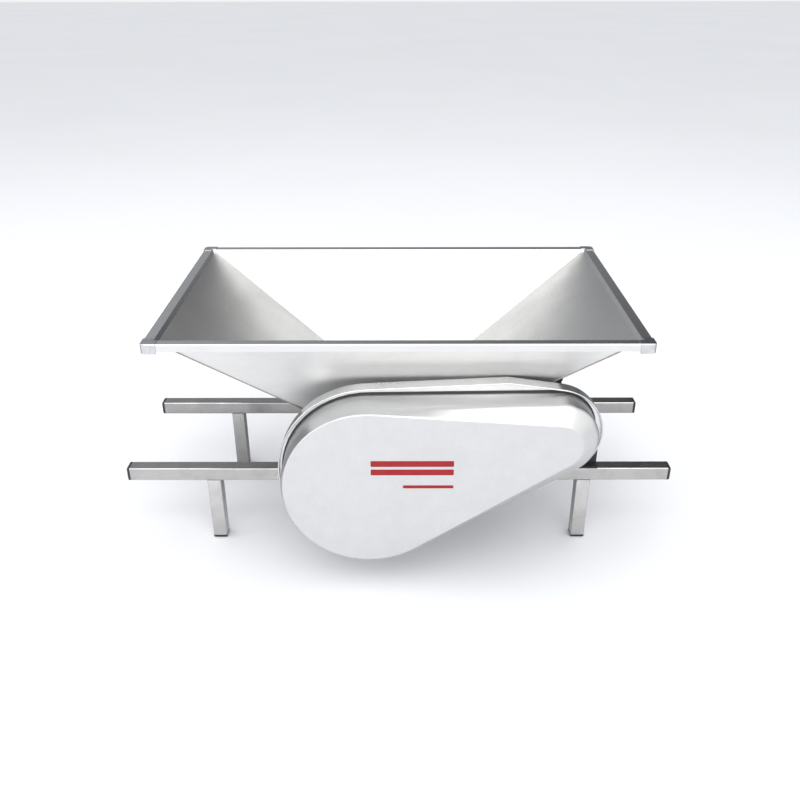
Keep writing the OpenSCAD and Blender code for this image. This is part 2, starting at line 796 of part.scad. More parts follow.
// The front shell's outside, made smaller all round by inset
module shell_solid(inset, front, back)
    hull() {
        rod(cover_big, cover_big_r - inset, bevel_y, back);
        rod(cover_small, cover_small_r - inset, bevel_y, back);
        rod(face_big, face_big_r - inset, front, front + 1);
        rod(face_small, face_small_r - inset, front, front + 1);
    }

module cover_front_shell()
    color(steel) difference() {
        shell_solid(0, face_y, shell_back_y);
        shell_solid(cover_sheet, face_y + cover_sheet, shell_back_y + 1);
        for (p = cover_screw_places()) translate([p[0], shell_back_y - 6, p[1]])
            rotate([0, 90 - p[2], 0]) cylinder(r = screw_hole_r, h = 40, center = true, $fn = 24);
    }

// Places on the shell's rim, with the direction in which each one faces
function on_rim(centre, r, a) = [centre[0] + r * cos(a), centre[1] + r * sin(a), a];
function cover_screw_places() = [
    on_rim(cover_big, cover_big_r, 190), on_rim(cover_big, cover_big_r, 250),
    on_rim(cover_small, cover_small_r, -55), on_rim(cover_small, cover_small_r, -5)
];

// The back pan's outline, made smaller all round by inset
module pan_solid(inset, y0, y1)
    hull() {
        rod(pan_big, pan_big_r - inset, y0, y1);
        rod(pan_small, pan_small_r - inset, y0, y1);
        rod([pan_peak[0], pan_peak[1] - inset], peak_r, y0, y1);
    }

// The back pan: a back, a side wall and an inner lip on which the shell stands
module cover_back_pan()
    color(steel) difference() {
        pan_solid(0, pan_front_y, pan_back_y);
        pan_solid(cover_sheet, pan_front_y - 1, lip_y - cover_sheet);
        pan_solid(cover_sheet, lip_y, pan_back_y - cover_sheet);
        hull() {
            rod(cover_big, cover_big_r - lip_width, pan_front_y - 1, pan_back_y - cover_sheet - 1);
            rod(cover_small, cover_small_r - lip_width, pan_front_y - 1, pan_back_y - cover_sheet - 1);
        }
        rod([driven_x, axle_z], axle_r + 10, cut_front_y, cut_back_y);
        rod([motor_x, motor_z], spigot_r, cut_front_y, cut_back_y);
        for (i = [0:3]) rotate_about_motor(45 + 90 * i)
            rod([motor_x + motor_bolt_circle_r, motor_z], bolt_hole_r, cut_front_y, cut_back_y);
        for (p = pan_bolts) rod(p, bolt_hole_r, cut_front_y, cut_back_y);
        rod([bar_standoff_x, rail_z], bolt_hole_r, cut_front_y, cut_back_y);
    }

module cover_bar()
    color(steel) difference() {
        block([bar_x[0], -rail_front - bar_depth, rail_z - 11], [bar_x[1], -rail_front, rail_z + 11]);
        for (x = [bar_bolt_x, bar_standoff_x]) rod([x, rail_z], rail_hole_r, cut_front_y, cut_back_y);
    }

module cover_standoff()
    color(dark_steel) ring([bar_standoff_x, rail_z], 7, bolt_hole_r, pan_back_y, -rail_front - bar_depth);

module cover_bolts()
    color(steel) {
        for (p = pan_bolts) hex_bolt(p, pan_back_y - cover_sheet, bolt_r, 12);
        hex_bolt([bar_standoff_x, rail_z], pan_back_y - cover_sheet, bolt_r, 84);
        hex_bolt([bar_bolt_x, rail_z], -rail_front - bar_depth, rail_bolt_r, 14);
    }

// Small angle tabs on the lip, inside the shell's rim, into which its screws go
module cover_tabs()
    color(dark_steel) for (p = cover_screw_places())
        translate([p[0], shell_back_y, p[1]]) rotate([0, 90 - p[2], 0]) difference() {
            translate([-tab_size[0] / 2, -tab_size[1], -cover_sheet - tab_size[2] - tab_gap])
                cube([tab_size[0], tab_size[1], tab_size[2]]);
            translate([0, -6, -20]) cylinder(r = screw_hole_r, h = 40, $fn = 24);
        }

// Small screws through the shell's rim, pointing inwards
module cover_screws()
    color(dark_steel) for (p = cover_screw_places())
        translate([p[0], shell_back_y - 6, p[1]]) rotate([0, 90 - p[2], 0]) {
            cylinder(r = 2 * screw_r, h = 2.2, $fn = 24);
            translate([0, 0, -7]) cylinder(r = screw_r, h = 7 + joined, $fn = 24);
        }

// ---- drawing ----

front_rail();
rear_rail();
legs();
rail_end_caps();
foot_caps();
hopper_front_wall();
hopper_rear_wall();
hopper_left_wall();
hopper_right_wall();
rim_frame();
rim_corner_caps();
box_front_plate();
box_rear_plate();
box_left_plate();
box_right_plate();
bearing_housings();
outboard_plate();
outboard_housing();
shaft_bushes();
housing_bolts();
driven_shaft();
driven_roller();
driven_thrust_washers();
driven_gear();
driven_collar();
large_pulley();
pulley_fastener();
idler_shaft();
idler_roller();
idler_thrust_washers();
idler_gear();
idler_collar();
gear_guard();
guard_screws();
v_belt();
motor_bracket();
motor_front_shield();
motor_housing();
motor_rear_shield();
motor_bearings();
motor_stator();
motor_fan_cover();
motor_bolts();
motor_shaft();
motor_rotor();
motor_pulley();
motor_fan();
switch_box();
switch_box_lid();
switch_box_screws();
cable_gland();
start_button();
stop_button();
cover_back_pan();
cover_front_shell();
cover_bar();
cover_standoff();
cover_bolts();
cover_tabs();
cover_screws();
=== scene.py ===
"""Looks of a motorised grape crusher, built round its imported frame. Lengths are in metres."""

import math

import bmesh
import bpy
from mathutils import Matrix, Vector


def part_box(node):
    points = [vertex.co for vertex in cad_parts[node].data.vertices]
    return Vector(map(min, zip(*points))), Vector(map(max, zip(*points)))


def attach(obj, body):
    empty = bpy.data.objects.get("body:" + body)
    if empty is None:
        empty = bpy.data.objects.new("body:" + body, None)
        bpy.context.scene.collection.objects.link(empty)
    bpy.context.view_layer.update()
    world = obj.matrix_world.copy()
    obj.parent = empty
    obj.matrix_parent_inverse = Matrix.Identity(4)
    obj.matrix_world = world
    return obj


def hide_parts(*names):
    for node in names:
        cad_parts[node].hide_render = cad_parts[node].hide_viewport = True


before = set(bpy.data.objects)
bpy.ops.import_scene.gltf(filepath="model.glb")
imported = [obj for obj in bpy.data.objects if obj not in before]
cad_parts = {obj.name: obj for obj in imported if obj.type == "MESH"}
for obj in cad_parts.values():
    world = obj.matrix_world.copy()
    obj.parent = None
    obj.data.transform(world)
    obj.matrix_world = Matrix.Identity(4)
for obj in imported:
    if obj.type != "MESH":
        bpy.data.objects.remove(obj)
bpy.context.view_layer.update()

bl_info = {
    "name": "Grape crusher looks",
    "version": (1, 0, 0),
    "blender": (4, 5, 0),
    "location": "View3D > Sidebar > Crusher",
    "description": "Builds the sheet-metal, tube and trim pieces of a grape crusher and their finishes",
    "category": "Object",
}

BODY = "frame"
DRIVEN = "driven_roller_train"
IDLER = "idler_roller_train"
MM = 0.001
QUARTER = math.pi / 2
GRAIN_HEIGHT = 0.2 * MM
CORNERS = [  # name of each corner seen from above, and the signs of its x and y
    ("front_left", -1, -1),
    ("back_left", -1, 1),
    ("front_right", 1, -1),
    ("back_right", 1, 1),
]


# ---- settings ----


def length(label, about, default):
    """A length that a user may change."""
    return bpy.props.FloatProperty(
        name=label, description=about, default=default, min=0.0, precision=4, unit="LENGTH"
    )


def colour(label, about, default):
    """A colour that a user may change."""
    return bpy.props.FloatVectorProperty(
        name=label, description=about, default=default, min=0.0, max=1.0, size=3, subtype="COLOR"
    )


class CrusherSizes(bpy.types.PropertyGroup):
    """Sizes that the frame's boxes don't hold."""

    sheet: length("Sheet", "Thickness of the hopper's sheet", 2 * MM)
    cover_sheet: length("Cover sheet", "Thickness of the belt cover's sheet", 1.5 * MM)
    tube_wall: length("Tube wall", "Wall of the square tubes", 2 * MM)
    tube_corner: length("Tube corner", "Radius on the square tubes' edges", 2.4 * MM)
    plug_corner: length("Plug corner", "Radius on the plastic plugs' edges", 2 * MM)
    rim_fold: length("Rim fold", "Radius of the folds along the rim", 2.6 * MM)
    rim_corner: length("Rim corner", "Radius of the rim's corners seen from above", 8 * MM)
    cap_reach: length("Corner cap reach", "How far a corner cap reaches along a side", 28 * MM)
    cap_depth: length("Corner cap depth", "How far a corner cap reaches over the rim", 20 * MM)
    cap_round: length("Corner cap rounding", "Radius along a corner cap's upper edge", 2.2 * MM)
    shell_big: length("Cover large end", "Radius of the front shell's large end", 178 * MM)
    shell_small: length("Cover small end", "Radius of the front shell's small end", 77 * MM)
    face_big: length("Face large end", "Radius of the flat face's large end", 167.5 * MM)
    face_small: length("Face small end", "Radius of the flat face's small end", 47 * MM)
    face_rise: length("Face rise", "How far the face's large end sits above the side's", 10 * MM)
    shell_side: length("Shell side", "Depth of the front shell's side wall", 57 * MM)
    shell_round: length("Shell rounding", "Radius between the shell's side and its slope", 7 * MM)
    pan_big: length("Pan large end", "Radius of the back pan's large end", 186.5 * MM)
    pan_small: length("Pan small end", "Radius of the back pan's small end", 96 * MM)
    pan_small_height: length("Pan small end height", "Height of that end's centre", 327 * MM)
    pan_peak: length("Pan peak", "How far right of the middle the pan's peak is", 214.5 * MM)
    gasket_gap_shade: length("Gasket", "How far the cover's gasket shows round the shell", 3.6 * MM)
    flute_depth: length("Flute depth", "Height of a roller's flutes", 9 * MM)
    weld: length("Weld", "Radius of the weld beads", 1.8 * MM)


class CrusherColours(bpy.types.PropertyGroup):
    """Colours of the finishes."""

    sheet_steel: colour("Sheet steel", "Satin stainless sheet", (0.80, 0.80, 0.79))
    cover_steel: colour("Cover steel", "Fine satin sheet of the belt cover", (0.68, 0.68, 0.68))
    tube_steel: colour("Tube steel", "Ground stainless tube", (0.53, 0.52, 0.51))
    bright_steel: colour("Bright steel", "Pressed corner caps", (0.66, 0.66, 0.67))
    weld_steel: colour("Weld steel", "Heat-tinted weld beads", (0.42, 0.38, 0.34))
    black_plastic: colour("Black plastic", "Tube plugs, fan and gland", (0.012, 0.012, 0.013))
    cast: colour("Cast aluminium", "Housings and pulleys", (0.56, 0.57, 0.58))
    # Near black: the brackets' coat, darkened also as painted shade behind the belt cover
    dark_coat_and_shade: colour("Dark coat and shade", "Coated brackets", (0.014, 0.014, 0.016))
    rubber: colour("Roller rubber", "Food-grade roller covering", (0.72, 0.69, 0.62))
    label_red: colour("Label red", "Printed stripes", (0.3, 0.004, 0.006))
    paint_grey: colour("Motor paint", "Sprayed grey", (0.2, 0.215, 0.23))
    floor: colour("Floor", "Studio floor", (0.83, 0.84, 0.86))


# ---- modelling ----


def spot(point):
    """A point as a key that two coinciding vertices share."""
    return tuple(round(value, 7) for value in point)


def loft(name, rings, closed=False):
    """A skin through rings of points: a circle laid on the first is extruded to each next one."""
    bpy.ops.object.select_all(action="DESELECT")
    bpy.ops.mesh.primitive_circle_add(vertices=len(rings[0]))
    bpy.ops.object.mode_set(mode="EDIT")
    piece = bpy.context.object
    piece.name = piece.data.name = name
    mesh = bmesh.from_edit_mesh(piece.data)
    for vertex, point in zip(mesh.verts, rings[0]):
        vertex.co = point
    bpy.ops.mesh.select_all(action="SELECT")
    for before, after in zip(rings, rings[1:]):
        bpy.ops.mesh.extrude_region_move()
        target = {spot(Vector(p)): q for p, q in zip(before, after)}
        mesh = bmesh.from_edit_mesh(piece.data)
        for vertex in mesh.verts:
            if vertex.select:
                vertex.co = target[spot(vertex.co)]
    bpy.ops.mesh.select_all(action="SELECT")
    if closed:
        bpy.ops.mesh.remove_doubles(threshold=MM * 0.01)
    else:
        bpy.ops.mesh.fill_holes(sides=0)
        bpy.ops.mesh.select_all(action="SELECT")
    bpy.ops.mesh.normals_make_consistent(inside=False)
    bpy.ops.object.mode_set(mode="OBJECT")
    return piece


def select_only(piece):
    """Makes the piece the one that operators work on."""
    bpy.ops.object.select_all(action="DESELECT")
    piece.select_set(True)
    bpy.context.view_layer.objects.active = piece


def apply_modifier(piece, kind, **settings):
    """Adds a modifier to the piece and applies it."""
    select_only(piece)
    modifier = piece.modifiers.new(kind.title(), kind)
    for setting, value in settings.items():
        setattr(modifier, setting, value)
    bpy.ops.object.modifier_apply(modifier=modifier.name)


def settle(piece, body, slot, finish, *replaced, angle=32):
    """Gives a piece its shading, finish and body, and hides the CAD nodes it stands for. Its slot is not used.
    """
    select_only(piece)
    bpy.ops.object.shade_smooth_by_angle(angle=math.radians(angle))
    apply_modifier(piece, "WEIGHTED_NORMAL", keep_sharp=True)
    piece.data.materials.clear()
    piece.data.materials.append(FINISHES[finish])
    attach(piece, body)
    if replaced:
        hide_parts(*replaced)


def middle(node):
    """Centre and half sizes of a CAD node's box."""
    low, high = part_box(node)
    return (low + high) / 2, (high - low) / 2


def rounded_square(half_u, half_v, radius, steps=4):
    """Points round a rectangle with rounded corners, anticlockwise."""
    points = []
    for corner, (su, sv) in enumerate([(1, 1), (-1, 1), (-1, -1), (1, -1)]):
        for step in range(steps + 1):
            angle = QUARTER * (corner + step / steps)
            u = su * (half_u - radius) + radius * math.cos(angle)
            v = sv * (half_v - radius) + radius * math.sin(angle)
            points.append((u, v))
    return points


def fillet(points, radius, steps=4):
    """The same open run of points in a plane, with its inner corners rounded."""
    rounded = [Vector(points[0])]
    for before, corner, after in zip(points, points[1:], points[2:]):
        corner = Vector(corner)
        back = (Vector(before) - corner).normalized()
        on = (Vector(after) - corner).normalized()
        half = back.angle(on) / 2
        reach = radius / math.tan(half)
        centre = corner + (back + on).normalized() * radius / math.sin(half)
        first = corner + back * reach - centre
        last = corner + on * reach - centre
        for step in range(steps + 1):
            share = step / steps
            turned = first.lerp(last, share)
            rounded.append(centre + turned.normalized() * radius)
    rounded.append(Vector(points[-1]))
    return rounded


def round_hull(circles, inset=0.0, arc_steps=40, run_steps=6):
    """Points round a belt laid over circles (x, z, radius), taken anticlockwise."""
    points = []
    count = len(circles)

    def facing(i, j):
        x0, z0, r0 = circles[i % count]
        x1, z1, r1 = circles[j % count]
        apart = math.hypot(x1 - x0, z1 - z0)
        return math.atan2(z1 - z0, x1 - x0) - math.acos((r0 - r1) / apart)

    def edge_point(i, angle):
        x, z, r = circles[i % count]
        return Vector((x + (r - inset) * math.cos(angle), z + (r - inset) * math.sin(angle)))

    for i in range(count):
        enter = facing(i - 1, i)
        leave = facing(i, i + 1)
        turn = (leave - enter) % (2 * math.pi)
        points += [edge_point(i, enter + turn * s / arc_steps) for s in range(arc_steps + 1)]
        start = edge_point(i, leave)
        end = edge_point(i + 1, leave)
        points += [start.lerp(end, s / run_steps) for s in range(1, run_steps)]
    return points


def along_y(outline, y):
    """A flat outline in X and Z stood at y."""
    return [(u, y, v) for u, v in outline]


def along_z(outline, z):
    """A flat outline in X and Y laid at height z."""
    return [(u, v, z) for u, v in outline]


def tube_rings(low, high, axis, wall, corner):
    """Rings of a square tube between two corners, whose bore is open at both ends."""
    centre = (low + high) / 2
    half = (high - low) / 2
    sides = [i for i in range(3) if i != axis]

    def ring(inset, place):
        radius = max(corner - inset, 0.6 * MM)
        outline = rounded_square(half[sides[0]] - inset, half[sides[1]] - inset, radius)
        points = []
        for u, v in outline:
            point = centre.copy()
            point[sides[0]] += u
            point[sides[1]] += v
            point[axis] = place
            points.append(point)
        return points

    ends = [(0, low), (0, high), (wall, high), (wall, low), (0, low)]
    return [ring(inset, corner_at[axis]) for inset, corner_at in ends]


def bead(name, path, radius, sides=8, ripple=0.22, pitch=2.6 * MM):
    """A weld bead along points: a round section whose size ripples with each drop of metal."""
    points = [Vector(p) for p in path]
    around = [2 * math.pi * k / sides for k in range(sides)]
    rings = []
    travelled = 0.0
    for i, point in enumerate(points):
        before = points[max(i - 1, 0)]
        after = points[min(i + 1, len(points) - 1)]
        travelled += (point - before).length
        forward = (after - before).normalized()
        side = forward.orthogonal() if abs(forward.z) > 0.9 else forward.cross(Vector((0, 0, 1)))
        side.normalize()
        up = side.cross(forward)
        size = radius * (1 + ripple * math.sin(2 * math.pi * travelled / pitch))
        rings.append([point + size * (math.cos(a) * side + math.sin(a) * up) for a in around])
    return loft(name, rings)


def spaced(start, end, step=0.9 * MM):
    """Points from start to end, a step apart."""
    start, end = Vector(start), Vector(end)
    count = max(2, round((end - start).length / step))
    return [start.lerp(end, i / count) for i in range(count + 1)]


# ---- finishes ----


def new_group(name, output, **inputs):
    """A node group with a Vector, other inputs by name and default, and one output."""
    tree = bpy.data.node_groups.new(name, "ShaderNodeTree")
    tree.interface.new_socket(name="Vector", in_out="INPUT", socket_type="NodeSocketVector")
    for label, default in inputs.items():
        kind = "NodeSocketFloat" if isinstance(default, float) else "NodeSocketVector"
        made = tree.interface.new_socket(name=label, in_out="INPUT", socket_type=kind)
        made.default_value = default
    tree.interface.new_socket(name=output, in_out="OUTPUT", socket_type="NodeSocketFloat")
    start = tree.nodes.new("NodeGroupInput")
    end = tree.nodes.new("NodeGroupOutput")
    return tree, start.outputs, end.inputs[output]


def feed(tree, node, **inputs):
    """Sets a node's inputs by name, from sockets or plain values."""
    for label, value in inputs.items():
        target = node.inputs[label.replace("_", " ")]
        if isinstance(value, bpy.types.NodeSocket):
            tree.links.new(value, target)
        else:
            target.default_value = value


def add_node(tree, kind, **inputs):
    """A node with some of its inputs fed by name."""
    node = tree.nodes.new(kind)
    feed(tree, node, **inputs)
    return node


def mix_values(tree, operation, first, second):
    """A math node's output from two sockets or numbers."""
    node = tree.nodes.new("ShaderNodeMath")
    node.operation = operation
    for slot_index, value in enumerate((first, second)):
        if isinstance(value, (int, float)):
            node.inputs[slot_index].default_value = value
        else:
            tree.links.new(value, node.inputs[slot_index])
    return node.outputs[0]


def ranged(tree, value, none, full):
    """A mask that grows from 0 where the value is none to 1 where it is full."""
    node = add_node(tree, "ShaderNodeMapRange", Value=value, From_Min=none, From_Max=full)
    return node.outputs["Result"]


def grain_group():
    """Fine parallel lines, such as those that grinding or drawing leaves."""
    tree, given, result = new_group("Drawn grain", "Lines", Stretch=(1, 1, 1))
    scale = tree.nodes.new("ShaderNodeVectorMath")
    scale.operation = "MULTIPLY"
    tree.links.new(given["Vector"], scale.inputs[0])
    tree.links.new(given["Stretch"], scale.inputs[1])
    where = scale.outputs[0]
    fine = add_node(tree, "ShaderNodeTexNoise", Vector=where, Scale=1.0, Detail=3.0, Roughness=0.65)
    broad = add_node(tree, "ShaderNodeTexNoise", Vector=where, Scale=0.23, Detail=2.0, Roughness=0.5)
    both = mix_values(tree, "ADD", fine.outputs["Fac"], broad.outputs["Fac"])
    tree.links.new(mix_values(tree, "MULTIPLY", both, 0.5), result)
    return tree


def blotch_group():
    """Cloudy patches where a surface was handled, wiped or cast unevenly."""
    tree, given, result = new_group("Cloudy patches", "Mask", Size=12.0)
    noise = add_node(tree, "ShaderNodeTexNoise", Detail=5.0, Roughness=0.58, Distortion=0.4)
    feed(tree, noise, Vector=given["Vector"], Scale=given["Size"])
    tree.links.new(ranged(tree, noise.outputs["Fac"], 0.42, 0.68), result)
    return tree


def speckle_group():
    """Small pits and grains, as on castings, moulded plastic and rubber."""
    tree, given, result = new_group("Fine speckle", "Height", Size=900.0)
    cells = tree.nodes.new("ShaderNodeTexVoronoi")
    grains = add_node(tree, "ShaderNodeTexNoise", Detail=2.0, Roughness=0.6)
    for texture in (cells, grains):
        feed(tree, texture, Vector=given["Vector"], Scale=given["Size"])
    tree.links.new(mix_values(tree, "ADD", cells.outputs["Distance"], grains.outputs["Fac"]), result)
    return tree


def place_group(tree, name, vector, **inputs):
    """The output of a node group placed in a material and fed with the vector."""
    node = tree.nodes.new("ShaderNodeGroup")
    node.node_tree = GROUPS[name]
    feed(tree, node, Vector=vector, **inputs)
    return node.outputs[0]


def tinted(tree, base, shade, mask, strength):
    """The base colour, going towards a shade where the mask is strong."""
    mix = tree.nodes.new("ShaderNodeMix")
    mix.data_type = "RGBA"
    a, b = [tone if isinstance(tone, bpy.types.NodeSocket) else (*tone, 1) for tone in (base, shade)]
    feed(tree, mix, Factor=mix_values(tree, "MULTIPLY", mask, strength), A=a, B=b)
    return mix.outputs["Result"]


def bumped(tree, height, distance, strength, under=None):
    """A bump from a height, over another one if given."""
    bump = add_node(tree, "ShaderNodeBump", Strength=strength, Distance=distance, Height=height)
    if under is not None:
        tree.links.new(under, bump.inputs["Normal"])
    return bump.outputs["Normal"]


def scaled(shade, factor):
    """A colour made darker or lighter."""
    return tuple(min(1.0, value * factor) for value in shade)


def blank_material(name):
    """A material with only its shader and output, and its Object coordinates."""
    material = bpy.data.materials.new(name)
    material.use_nodes = True
    tree = material.node_tree
    shader = tree.nodes["Principled BSDF"]
    coordinates = tree.nodes.new("ShaderNodeTexCoord").outputs["Object"]
    return material, tree, shader, coordinates


def metal(name, base, rough, lines, depth, patches, grime, waves=0.0, spread=0.16):
    """Worked metal: grain lines, handled patches and the slow waves of thin sheet."""
    material, tree, shader, where = blank_material(name)
    grain = place_group(tree, "grain", where, Stretch=lines)
    cloud = place_group(tree, "blotch", where, Size=patches)
    tone = tinted(tree, base, scaled(base, 0.72), grain, 0.5)
    tone = tinted(tree, tone, scaled(base, 0.6), cloud, grime)
    offset = mix_values(tree, "MULTIPLY", mix_values(tree, "SUBTRACT", grain, 0.5), spread)
    smeared = mix_values(tree, "MULTIPLY", cloud, spread * 0.6)
    level = mix_values(tree, "ADD", mix_values(tree, "ADD", offset, smeared), rough)
    normal = None
    if waves:
        swell = add_node(tree, "ShaderNodeTexNoise", Vector=where, Scale=4.0, Detail=0.0)
        normal = bumped(tree, swell.outputs["Fac"], waves, 1.0)
    normal = bumped(tree, grain, GRAIN_HEIGHT, depth, normal)
    feed(tree, shader, Metallic=1.0, Base_Color=tone, Roughness=level, Normal=normal)
    return material


def moulded(name, base, rough, fineness, depth, coat, patches, metallic=0.0, worn=0.75):
    """Plastic, rubber, paint or a casting: fine speckle and uneven dulling."""
    material, tree, shader, where = blank_material(name)
    speck = place_group(tree, "speckle", where, Size=fineness)
    cloud = place_group(tree, "blotch", where, Size=patches)
    tone = tinted(tree, base, scaled(base, worn), cloud, 0.7)
    level = mix_values(tree, "ADD", mix_values(tree, "MULTIPLY", cloud, 0.12), rough)
    normal = bumped(tree, speck, GRAIN_HEIGHT, depth)
    feed(tree, shader, Metallic=metallic, Coat_Weight=coat, Coat_Roughness=0.15)
    feed(tree, shader, Base_Color=tone, Roughness=level, Normal=normal)
    return material


GROUPS = {}
FINISHES = {}


def make_finishes(tones):
    """Every material, by the name that the pieces ask for."""
    GROUPS.update(grain=grain_group(), blotch=blotch_group(), speckle=speckle_group())
    sheet = tones.sheet_steel
    tube = tones.tube_steel
    cover = tones.cover_steel
    along_x = (14, 1100, 1100)
    along_depth = (1100, 14, 1100)
    metals = {
        # name, colour, roughness, stretch of lines, their depth, patches, grime, waves, spread
        # Front and back walls: the same satin sheet as the end walls, painted 1.1 times lighter as painted
        # light
        "sheet_x_painted_light": (
            "Satin sheet, lines along X", scaled(sheet, 1.1), 0.44, along_x, 0.12, 7.0, 0.16, 0.0012, 0.1,
        ),
        "sheet_y_painted_shade": (
            # End walls, box sides and seams: the same satin sheet, painted darker to 0.65 as painted shade
            "Satin sheet, lines along Y", scaled(sheet, 0.65), 0.42, along_depth, 0.06, 8.0, 0.26, 0.0008, 0.1,
        ),
        "rim": ("Folded rim", scaled(sheet, 0.95), 0.2, along_x, 0.06, 14.0, 0.12, 0.0, 0.08),
        "cap": ("Pressed corner cap", tones.bright_steel, 0.14, (300, 300, 90), 0.3, 90.0, 0.45, 0.0004),
        "cover": ("Cover sheet", cover, 0.36, (160, 900, 160), 0.05, 10.0, 0.08, 0.0008, 0.07),
        "pan": ("Cover pan sheet", scaled(cover, 1.1), 0.24, (160, 160, 160), 0.0, 10.0, 0.1, 0.0, 0.05),
        "tube_x": ("Ground tube along X", tube, 0.2, (9, 700, 700), 0.12, 22.0, 0.4, 0.0, 0.14),
        # Legs: the same ground tube as the rails, painted 1.35 times lighter as painted light on their fronts
        "tube_z_painted_light": (
            "Ground tube upright", scaled(tube, 1.35), 0.28, (700, 700, 9), 0.12, 30.0, 0.35, 0.0, 0.14,
        ),
        "weld": ("Weld bead", tones.weld_steel, 0.36, (500, 500, 500), 0.5, 160.0, 0.6),
        "fastener": ("Turned fastener", (0.56, 0.56, 0.56), 0.26, (600, 600, 600), 0.2, 120.0, 0.3),
        "shaft": ("Ground shaft", (0.6, 0.6, 0.6), 0.2, along_depth, 0.15, 60.0, 0.2),
        "gear": ("Cut gear", (0.2, 0.2, 0.21), 0.42, (400, 60, 400), 0.4, 90.0, 0.5),
        "laminations": ("Laminated core", (0.28, 0.28, 0.28), 0.4, (40, 2600, 40), 0.8, 80.0, 0.3),
        "winding": ("Varnished winding", (0.55, 0.22, 0.09), 0.34, (900, 60, 900), 0.8, 120.0, 0.4),
    }
    coatings = {
        # name, colour, roughness, fineness, depth of grains, clear coat, patches, metallic, worn
        # A near-black gasket round the shell, which also paints the shade in the gap between the shell and the
        # pan
        "gasket_gap_shade": ("Cover gasket", (0.035, 0.035, 0.037), 0.5, 1500.0, 0.2, 0.0, 40.0, 0.0, 1.4),
        # Brackets near black and matt: a coat that also paints the shade behind the belt cover
        "bracket": ("Coated and shaded bracket", tones.dark_coat_and_shade, 0.55, 900.0, 0.2, 0.0, 18.0, 0.0, 1.6),
        "cast": ("Cast aluminium", tones.cast, 0.42, 700.0, 0.5, 0.0, 30.0, 1.0, 0.7),
        "black": ("Black moulded plastic", tones.black_plastic, 0.4, 1800.0, 0.25, 0.0, 60.0, 0.0, 2.6),
        "nylon": ("Machined nylon", (0.78, 0.76, 0.68), 0.45, 1200.0, 0.15, 0.0, 50.0, 0.0, 0.85),
        "rubber": ("Roller rubber", tones.rubber, 0.6, 800.0, 0.4, 0.0, 26.0, 0.0, 0.72),
        "belt": ("Wrapped belt", (0.02, 0.02, 0.021), 0.7, 1500.0, 0.6, 0.0, 40.0, 0.0, 2.2),
        "motor": ("Sprayed motor body", tones.paint_grey, 0.42, 1000.0, 0.3, 0.15, 20.0, 0.0, 0.7),
        "motor_cover": ("Sprayed fan cover", scaled(tones.paint_grey, 0.8), 0.4, 1000.0, 0.25, 0.2, 24.0),
        "switch": ("Switch box plastic", (0.028, 0.03, 0.033), 0.45, 1600.0, 0.35, 0.0, 40.0, 0.0, 1.7),
        "green": ("Green button", (0.02, 0.3, 0.07), 0.28, 1200.0, 0.08, 0.4, 90.0, 0.0, 0.8),
        "red": ("Red button", (0.5, 0.015, 0.015), 0.28, 1200.0, 0.08, 0.4, 90.0, 0.0, 0.8),
        "label": ("Printed stripes", tones.label_red, 0.6, 1500.0, 0.06, 0.0, 30.0, 0.0, 0.86),
    }
    FINISHES.update({key: metal(*row) for key, row in metals.items()})
    FINISHES.update({key: moulded(*row) for key, row in coatings.items()})


NODE_FINISHES = {
    "sheet_x_painted_light": ["box_front_plate", "box_rear_plate", "gear_guard"],
    "sheet_y_painted_shade": ["box_left_plate", "box_right_plate"],
    "cast": ["bearing_housings", "outboard_housing", "large_pulley", "motor_pulley"],
    "nylon": ["shaft_bushes", "driven_thrust_washers", "idler_thrust_washers"],
    "fastener": [
        "housing_bolts", "driven_collar", "idler_collar", "pulley_fastener", "guard_screws",
        "motor_bolts", "switch_box_screws", "cover_standoff", "cover_bolts", "cover_screws",
    ],
    "shaft": ["driven_shaft", "idler_shaft", "motor_shaft", "motor_bearings"],
    "gear": ["driven_gear", "idler_gear"],
    "belt": ["v_belt"],
    "bracket": ["outboard_plate", "motor_bracket", "cover_tabs"],
    "tube_x": ["cover_bar"],
    "motor": ["motor_front_shield", "motor_housing", "motor_rear_shield"],
    "motor_cover": ["motor_fan_cover"],
    "winding": ["motor_stator"],
    "laminations": ["motor_rotor"],
    "black": ["motor_fan", "cable_gland"],
    "switch": ["switch_box", "switch_box_lid"],
    "green": ["start_button"],
    "red": ["stop_button"],
}


# ---- operators ----


class CrusherOperator:
    """What every step of the crusher shares: its sizes and colours."""

    bl_options = {"REGISTER", "UNDO"}

    def execute(self, context):
        self.build(context.scene.crusher_sizes, context.scene.crusher_colours)
        return {"FINISHED"}


class CRUSHER_OT_finishes(CrusherOperator, bpy.types.Operator):
    """Make the materials and give them to the nodes that stay as they are"""

    bl_idname = "crusher.finishes"
    bl_label = "Finishes"

    def build(self, sizes, tones):
        make_finishes(tones)
        for finish, nodes in NODE_FINISHES.items():
            for node in nodes:
                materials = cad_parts[node].data.materials
                materials.clear()
                materials.append(FINISHES[finish])


class CRUSHER_OT_tubes(CrusherOperator, bpy.types.Operator):
    """Model the two rails and the four legs as square tubes with rounded edges"""

    bl_idname = "crusher.tubes"
    bl_label = "Rails and legs"

    def build(self, sizes, tones):
        for node in ("front_rail", "rear_rail"):
            low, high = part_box(node)
            rings = tube_rings(low, high, 0, sizes.tube_wall, sizes.tube_corner)
            piece = loft(node + "_tube", rings, closed=True)
            settle(piece, BODY, "tube_steel", "tube_x", node)
        low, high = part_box("legs")
        half = middle("front_rail")[1].y
        for corner, x, y in leg_middles():
            start = Vector((x - half, y - half, low.z))
            end = Vector((x + half, y + half, high.z))
            rings = tube_rings(start, end, 2, sizes.tube_wall, sizes.tube_corner)
            piece = loft(f"leg_{corner}", rings, closed=True)
            settle(piece, BODY, "tube_steel", "tube_z_painted_light", "legs")


def leg_middles():
    """The name of each leg, and the x and y of its middle."""
    half = middle("front_rail")[1].y
    centre, reach = middle("legs")
    return [
        (corner, centre.x + sx * (reach.x - half), centre.y + sy * (reach.y - half))
        for corner, sx, sy in CORNERS
    ]


